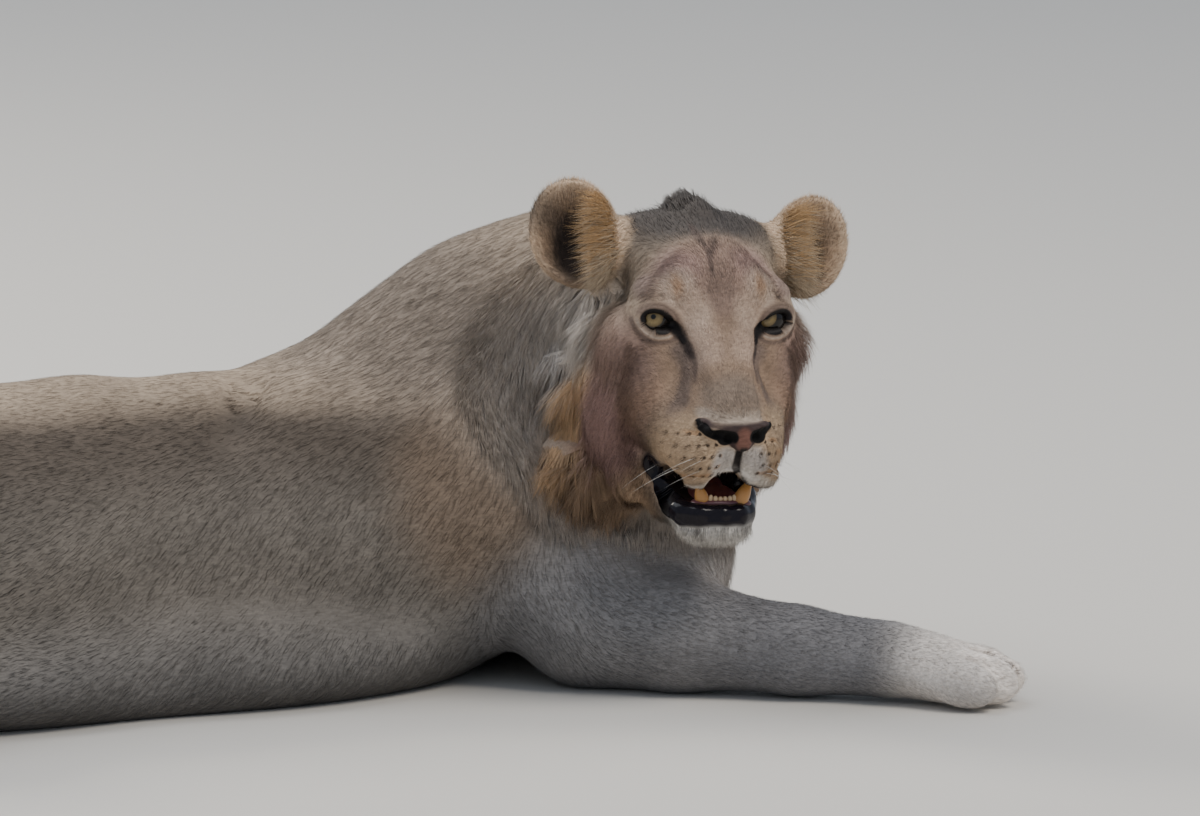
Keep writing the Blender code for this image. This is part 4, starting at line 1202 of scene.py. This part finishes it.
in_head, in_body = seen_from(TO_HEAD, centres), seen_from(TO_BODY, centres)
haired = soft(centres[:, 2], 0.15, 0.7) * (bareness(centres) < 0.4)
length_here = coat(centres)[:, 0]
face_part = zone(in_head, (1.5, 0, -7), (10.5, 9.2, 15.5), 0.02) > 0.5
ear_part = np.maximum(*[zone(in_head, p, (6.6, 6.0, 6.6), 0.02) for p in EAR_PLACES]) > 0.5
long_part = (length_here > 2.4) & ~ear_part & (~face_part | (in_head[:, 0] < -5))
face_part &= ~long_part & ~ear_part
legs = [RIGHT_FORELEG, LEFT_FORELEG, RIGHT_HIND_FOOT, LEFT_HIND_FOOT]
leg_part = np.maximum.reduce([along_line(in_body, leg, 8.5) for leg in legs]) > 0.5
leg_part &= ~face_part & ~ear_part & ~long_part
tail_part = (along_line(in_body, TAIL, 4.5) > 0.5) & ~long_part & ~leg_part
body_part = ~face_part & ~ear_part & ~long_part & ~leg_part & ~tail_part
for name, low, high in (
    ("coat_rump", -200, -66),
    ("coat_thigh", -66, -46),
    ("coat_flank", -46, -24),
    ("coat_ribs", -24, -6),
    ("coat_shoulder", -6, 10),
    ("coat_neck", 10, 100),
):
    share = body_part & (in_body[:, 0] >= low) & (in_body[:, 0] < high)
    grow(name, "flank_coat", body_hair, 7.5, haired * share, 0.075, 0.12)
grow("coat_legs", "leg_coat", body_hair, 12, haired * leg_part, 0.07, 0.2)
grow("coat_tail", "flank_coat", body_hair, 12, haired * tail_part, 0.085, 0.6)
grow("coat_face", "face_coat", face_hair, 55, haired * face_part, 0.055, 0.5)
grow("coat_ears", "ear_coat", face_hair, 32, haired * ear_part, 0.065, 0.5)
tuft_part = long_part & (in_body[:, 0] < -40)
grow("tail_tuft", "tuft_coat", long_hair, 14, haired * tuft_part, 0.11, 0.8, 3, 1.0, 0.3, 0.2)
mane_part = long_part & ~tuft_part
ruff_part = (length_here > 3.1) & mane_part
for name, share, segments in (
    ("mane_left", mane_part & ~ruff_part & (in_head[:, 1] >= 0), 2),
    ("mane_right", mane_part & ~ruff_part & (in_head[:, 1] < 0), 2),
    ("ruff_left", ruff_part & (in_head[:, 1] >= 0), 3),
    ("ruff_right", ruff_part & (in_head[:, 1] < 0), 3),
):
    grow(name, "ruff_coat", long_hair, 23.5, haired * share, 0.085, 0.6, segments, 0.9, 0.22, 0.12)


# ---------------------------------------------------------------- ear fringes
# Long pale hair fans out of the inner edge of each ear, up and outward across the cup. It grows in
# bunches that share a length and a lean.
FRINGE_HAIRS, FRINGE_BUNCHES, FRINGE_STEPS = 2600, 90, 3
ahead = np.array(forward)
for side, place in zip((-1, 1), EAR_PLACES):
    number = FRINGE_HAIRS
    down = rng.random(number)
    at_edge = place + np.stack([1.6 + 0.9 * down, side * (-3.7 + 0.3 * down), 3.2 - 7.2 * down], axis=1)
    at_edge += rng.normal(0, 0.4, (number, 3))
    spots = on_surface(seen_from(np.array(HEAD), at_edge) + 1.5 * ahead, -ahead)
    found = skin_depth(spots) < 0.15
    spots, down, number = spots[found], down[found], found.sum()
    bunch = rng.integers(0, FRINGE_BUNCHES, number)
    down = 0.4 * down + 0.6 * rng.random(FRINGE_BUNCHES)[bunch]
    fan = np.stack([np.full(number, 0.25), side * np.full(number, 0.8), 0.75 - 1.35 * down], axis=1)
    fan += rng.normal(0, 0.07, (number, 3)) + rng.normal(0, 0.16, (FRINGE_BUNCHES, 3))[bunch]
    fan = unit(fan @ np.array(HEAD)[:3, :3].T)
    length = (rng.uniform(0.7, 1.1, number) * rng.uniform(2.2, 4.4, FRINGE_BUNCHES)[bunch])[:, None]
    half = rng.uniform(0.018, 0.032, number)[:, None]
    across = unit(np.cross(fan, ahead))
    rings = []
    spot = spots - 0.1 * fan
    for i in range(FRINGE_STEPS + 1):
        t = i / FRINGE_STEPS
        if i:
            onward = unit(fan + ahead * (0.45 - 0.75 * t) - np.array((0, 0, 0.35 * t)))
            spot = spot + onward * length / FRINGE_STEPS
        size = half * (1 - t) ** 0.6
        if i < FRINGE_STEPS:
            rings += [spot - across * size, spot + across * size, spot + ahead * size * 0.9]
        else:
            rings.append(spot)
    shade = np.where(down[:, None] < 0.5, (0.46, 0.29, 0.14), (0.46, 0.36, 0.25))
    nearest = [np.argmin(((centres[::7] - spot) ** 2).sum(axis=1)) * 7 for spot in spots]
    name = "ear_fringe_right" if side < 0 else "ear_fringe_left"
    rings, tints = np.stack(rings, axis=1), rng.random(number)
    hair_mesh(name, long_hair, rings, shade, tints, corner_uv[nearest, 0], 0.9)


# ---------------------------------------------------------------- whiskers
# Stiff white whiskers stand out of the dark dots on the upper lip, back and down. About half the dots
# of the lower rows carry one.
WHISKER_STEPS = 6
low_row = seen_from(TO_HEAD, whisker_roots)[:, 2] < -12.2
rooted = low_row & (rng.random(len(whisker_roots)) < 0.5)
starts = whisker_roots[rooted]
local = seen_from(TO_HEAD, starts)
outward = np.sign(local[:, 1])[:, None]
number = len(starts)
way = np.array((-0.15, 0, -0.25)) + outward * np.array((0, 0.9, 0)) + rng.normal(0, 0.14, (number, 3))
way = unit(way @ np.array(HEAD)[:3, :3].T)
length = rng.uniform(2.0, 6.0, number)[:, None]
spot = starts - 0.1 * way
rings = []
for i in range(WHISKER_STEPS + 1):
    t = i / WHISKER_STEPS
    if i:
        bent = way + np.array((0, 0, -0.5)) * t - np.array(forward) * 0.45 * t
        spot = spot + unit(bent) * length / WHISKER_STEPS
    size = 0.022 * (1 - t) ** 0.7
    side_on = np.cross(way, (0, 0, 1))
    if i < WHISKER_STEPS:
        rings += [spot - side_on * size, spot + side_on * size, spot + np.array((0, 0, 1)) * size * 1.6]
    else:
        rings.append(spot)
white = np.tile((0.78, 0.74, 0.68), (number, 1))
rings, tints, patches = np.stack(rings, axis=1), np.full(number, 0.5), np.tile((0.5, 0.5), (number, 1))
hair_mesh("whiskers", long_hair, rings, white, tints, patches, 0)


# ---------------------------------------------------------------- eyes
# Two glass-like eyeballs with an amber iris, a small round pupil and a dark edge, set behind the lids.
# Their colours run from the back of the ball to the pupil along a map of its own.
GAZE = Vector((0.90, -0.36, 0.20))
eye_paint, eye_surface = new_paint("eye_paint", 0.06)
eye_nodes, eye_links = eye_paint.node_tree.nodes, eye_paint.node_tree.links
eye_surface.inputs["Specular IOR Level"].default_value = 0.35
ball_map = eye_nodes.new("ShaderNodeUVMap")
ball_map.uv_map = "ball"
parts = eye_nodes.new("ShaderNodeSeparateXYZ")
ramp = eye_nodes.new("ShaderNodeValToRGB")
stops = ramp.color_ramp.elements
stops[0].position, stops[0].color = 0.0, (0.008, 0.006, 0.006, 1)
stops[1].position, stops[1].color = 1.0, (0.002, 0.002, 0.002, 1)
for position, colour in (
    (0.770, (0.010, 0.008, 0.007, 1)),
    (0.800, (0.006, 0.005, 0.005, 1)),
    (0.822, (0.012, 0.009, 0.006, 1)),
    (0.842, (0.13, 0.09, 0.038, 1)),
    (0.900, (0.24, 0.175, 0.078, 1)),
    (0.950, (0.19, 0.135, 0.06, 1)),
    (0.966, (0.003, 0.003, 0.003, 1)),
):
    stop = stops.new(position)
    stop.color = colour
streaks = eye_nodes.new("ShaderNodeTexNoise")
streaks.inputs["Scale"].default_value = 9.0
streaks.inputs["Detail"].default_value = 4.0
stretch = eye_nodes.new("ShaderNodeMapping")
stretch.inputs["Scale"].default_value = (9.0, 0.8, 1.0)
streaked = ranged(eye_nodes, 0.7, 1.3)
tinted = eye_nodes.new("ShaderNodeVectorMath")
tinted.operation = "SCALE"
eye_links.new(ball_map.outputs["UV"], parts.inputs["Vector"])
eye_links.new(parts.outputs["Y"], ramp.inputs["Fac"])
eye_links.new(ball_map.outputs["UV"], stretch.inputs["Vector"])
eye_links.new(stretch.outputs["Vector"], streaks.inputs["Vector"])
eye_links.new(streaks.outputs["Fac"], streaked.inputs["Value"])
eye_links.new(ramp.outputs["Color"], tinted.inputs[0])
eye_links.new(streaked.outputs["Result"], tinted.inputs["Scale"])
eye_links.new(tinted.outputs["Vector"], eye_surface.inputs["Base Color"])


def make_eye(name):
    bm = bmesh.new()
    bm.loops.layers.uv.new("ball")
    bmesh.ops.create_uvsphere(bm, u_segments=64, v_segments=64, radius=EYE_RADIUS * CM, calc_uvs=True)
    spin = (HEAD.to_3x3() @ GAZE).to_track_quat("Z", "Y").to_matrix().to_4x4()
    bm.transform(Matrix.Translation(middle(name)) @ spin)
    mesh = mesh_from(name + "_ball", bm)
    mesh.shade_smooth()
    mesh.materials.append(eye_paint)
    obj = linked(name + "_ball", mesh)
    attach(obj, "root")
    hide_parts(name)


make_eye("eye_right")
make_eye("eye_left")


# ---------------------------------------------------------------- teeth, gums and tongue
# The lower front teeth stand in dark pink gums behind the lip: six small incisors between two long worn
# canines, stained yellow. The tongue lies low in the mouth behind them.
def plain_material(name, colour, rough):
    material, surface = new_paint(name, rough)
    surface.inputs["Base Color"].default_value = (*colour, 1)
    return material


def rounded(name, material, eggs, taper=0.0):
    """One piece of smooth eggs or pegs: (centre, radii, turn) each, in the head's measures."""
    bm = bmesh.new()
    for centre, radii, turn in eggs:
        place = HEAD @ Matrix.Translation(centre) @ turned(*turn) @ Matrix.Diagonal((*radii, 1))
        made = bmesh.ops.create_uvsphere(bm, u_segments=24, v_segments=16, radius=1)
        for v in made["verts"]:
            thin = 1 - taper * (v.co.z + 1) / 2
            v.co = place @ Vector((v.co.x * thin, v.co.y * thin, v.co.z)) * CM
    mesh = mesh_from(name, bm)
    mesh.shade_smooth()
    mesh.materials.append(material)
    obj = linked(name, mesh)
    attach(obj, "root")


incisors = []
for y, tall, lean in (
    (-1.25, 0.44, -6),
    (-0.76, 0.34, 4),
    (-0.27, 0.27, -3),
    (0.22, 0.30, 5),
    (0.72, 0.35, -4),
    (1.22, 0.46, 7),
):
    incisors.append(((5.0 - 0.1 * y * y, y + 0.2, -17.15), (0.2, 0.245, tall), (lean, 8, 3 * y)))
rounded("incisors", plain_material("ivory", (0.60, 0.43, 0.25), 0.3), incisors)
canines = [((4.5, -1.95, -16.8), (0.8, 0.95, 1.15), (20, 0, 0))]
canines += [((4.6, 2.45, -16.7), (0.9, 1.05, 1.55), (-26, 0, 0))]
rounded("canines", plain_material("old_ivory", (0.50, 0.24, 0.07), 0.28), canines, 0.62)
gums = [((4.7, 0.2, -17.6), (0.6, 2.4, 0.42), (0, 0, 0))]
gums += [((4.3, y, -17.75), (0.9, 1.0, 0.55), (0, 0, 0)) for y in (-1.95, 2.4)]
rounded("gums", plain_material("gum_pink", (0.15, 0.055, 0.062), 0.3), gums)
tongue = [((1.2, 0.3, -17.3), (3.6, 2.4, 0.9), (0, 4, 0)), ((-2.5, 0.2, -16.9), (3.4, 2.6, 1.2), (0, 10, 0))]
rounded("tongue", plain_material("tongue_red", (0.14, 0.035, 0.03), 0.35), tongue)

size = {"cad": [list(corner) for corner in cad_box], "look": [list(corner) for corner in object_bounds()]}
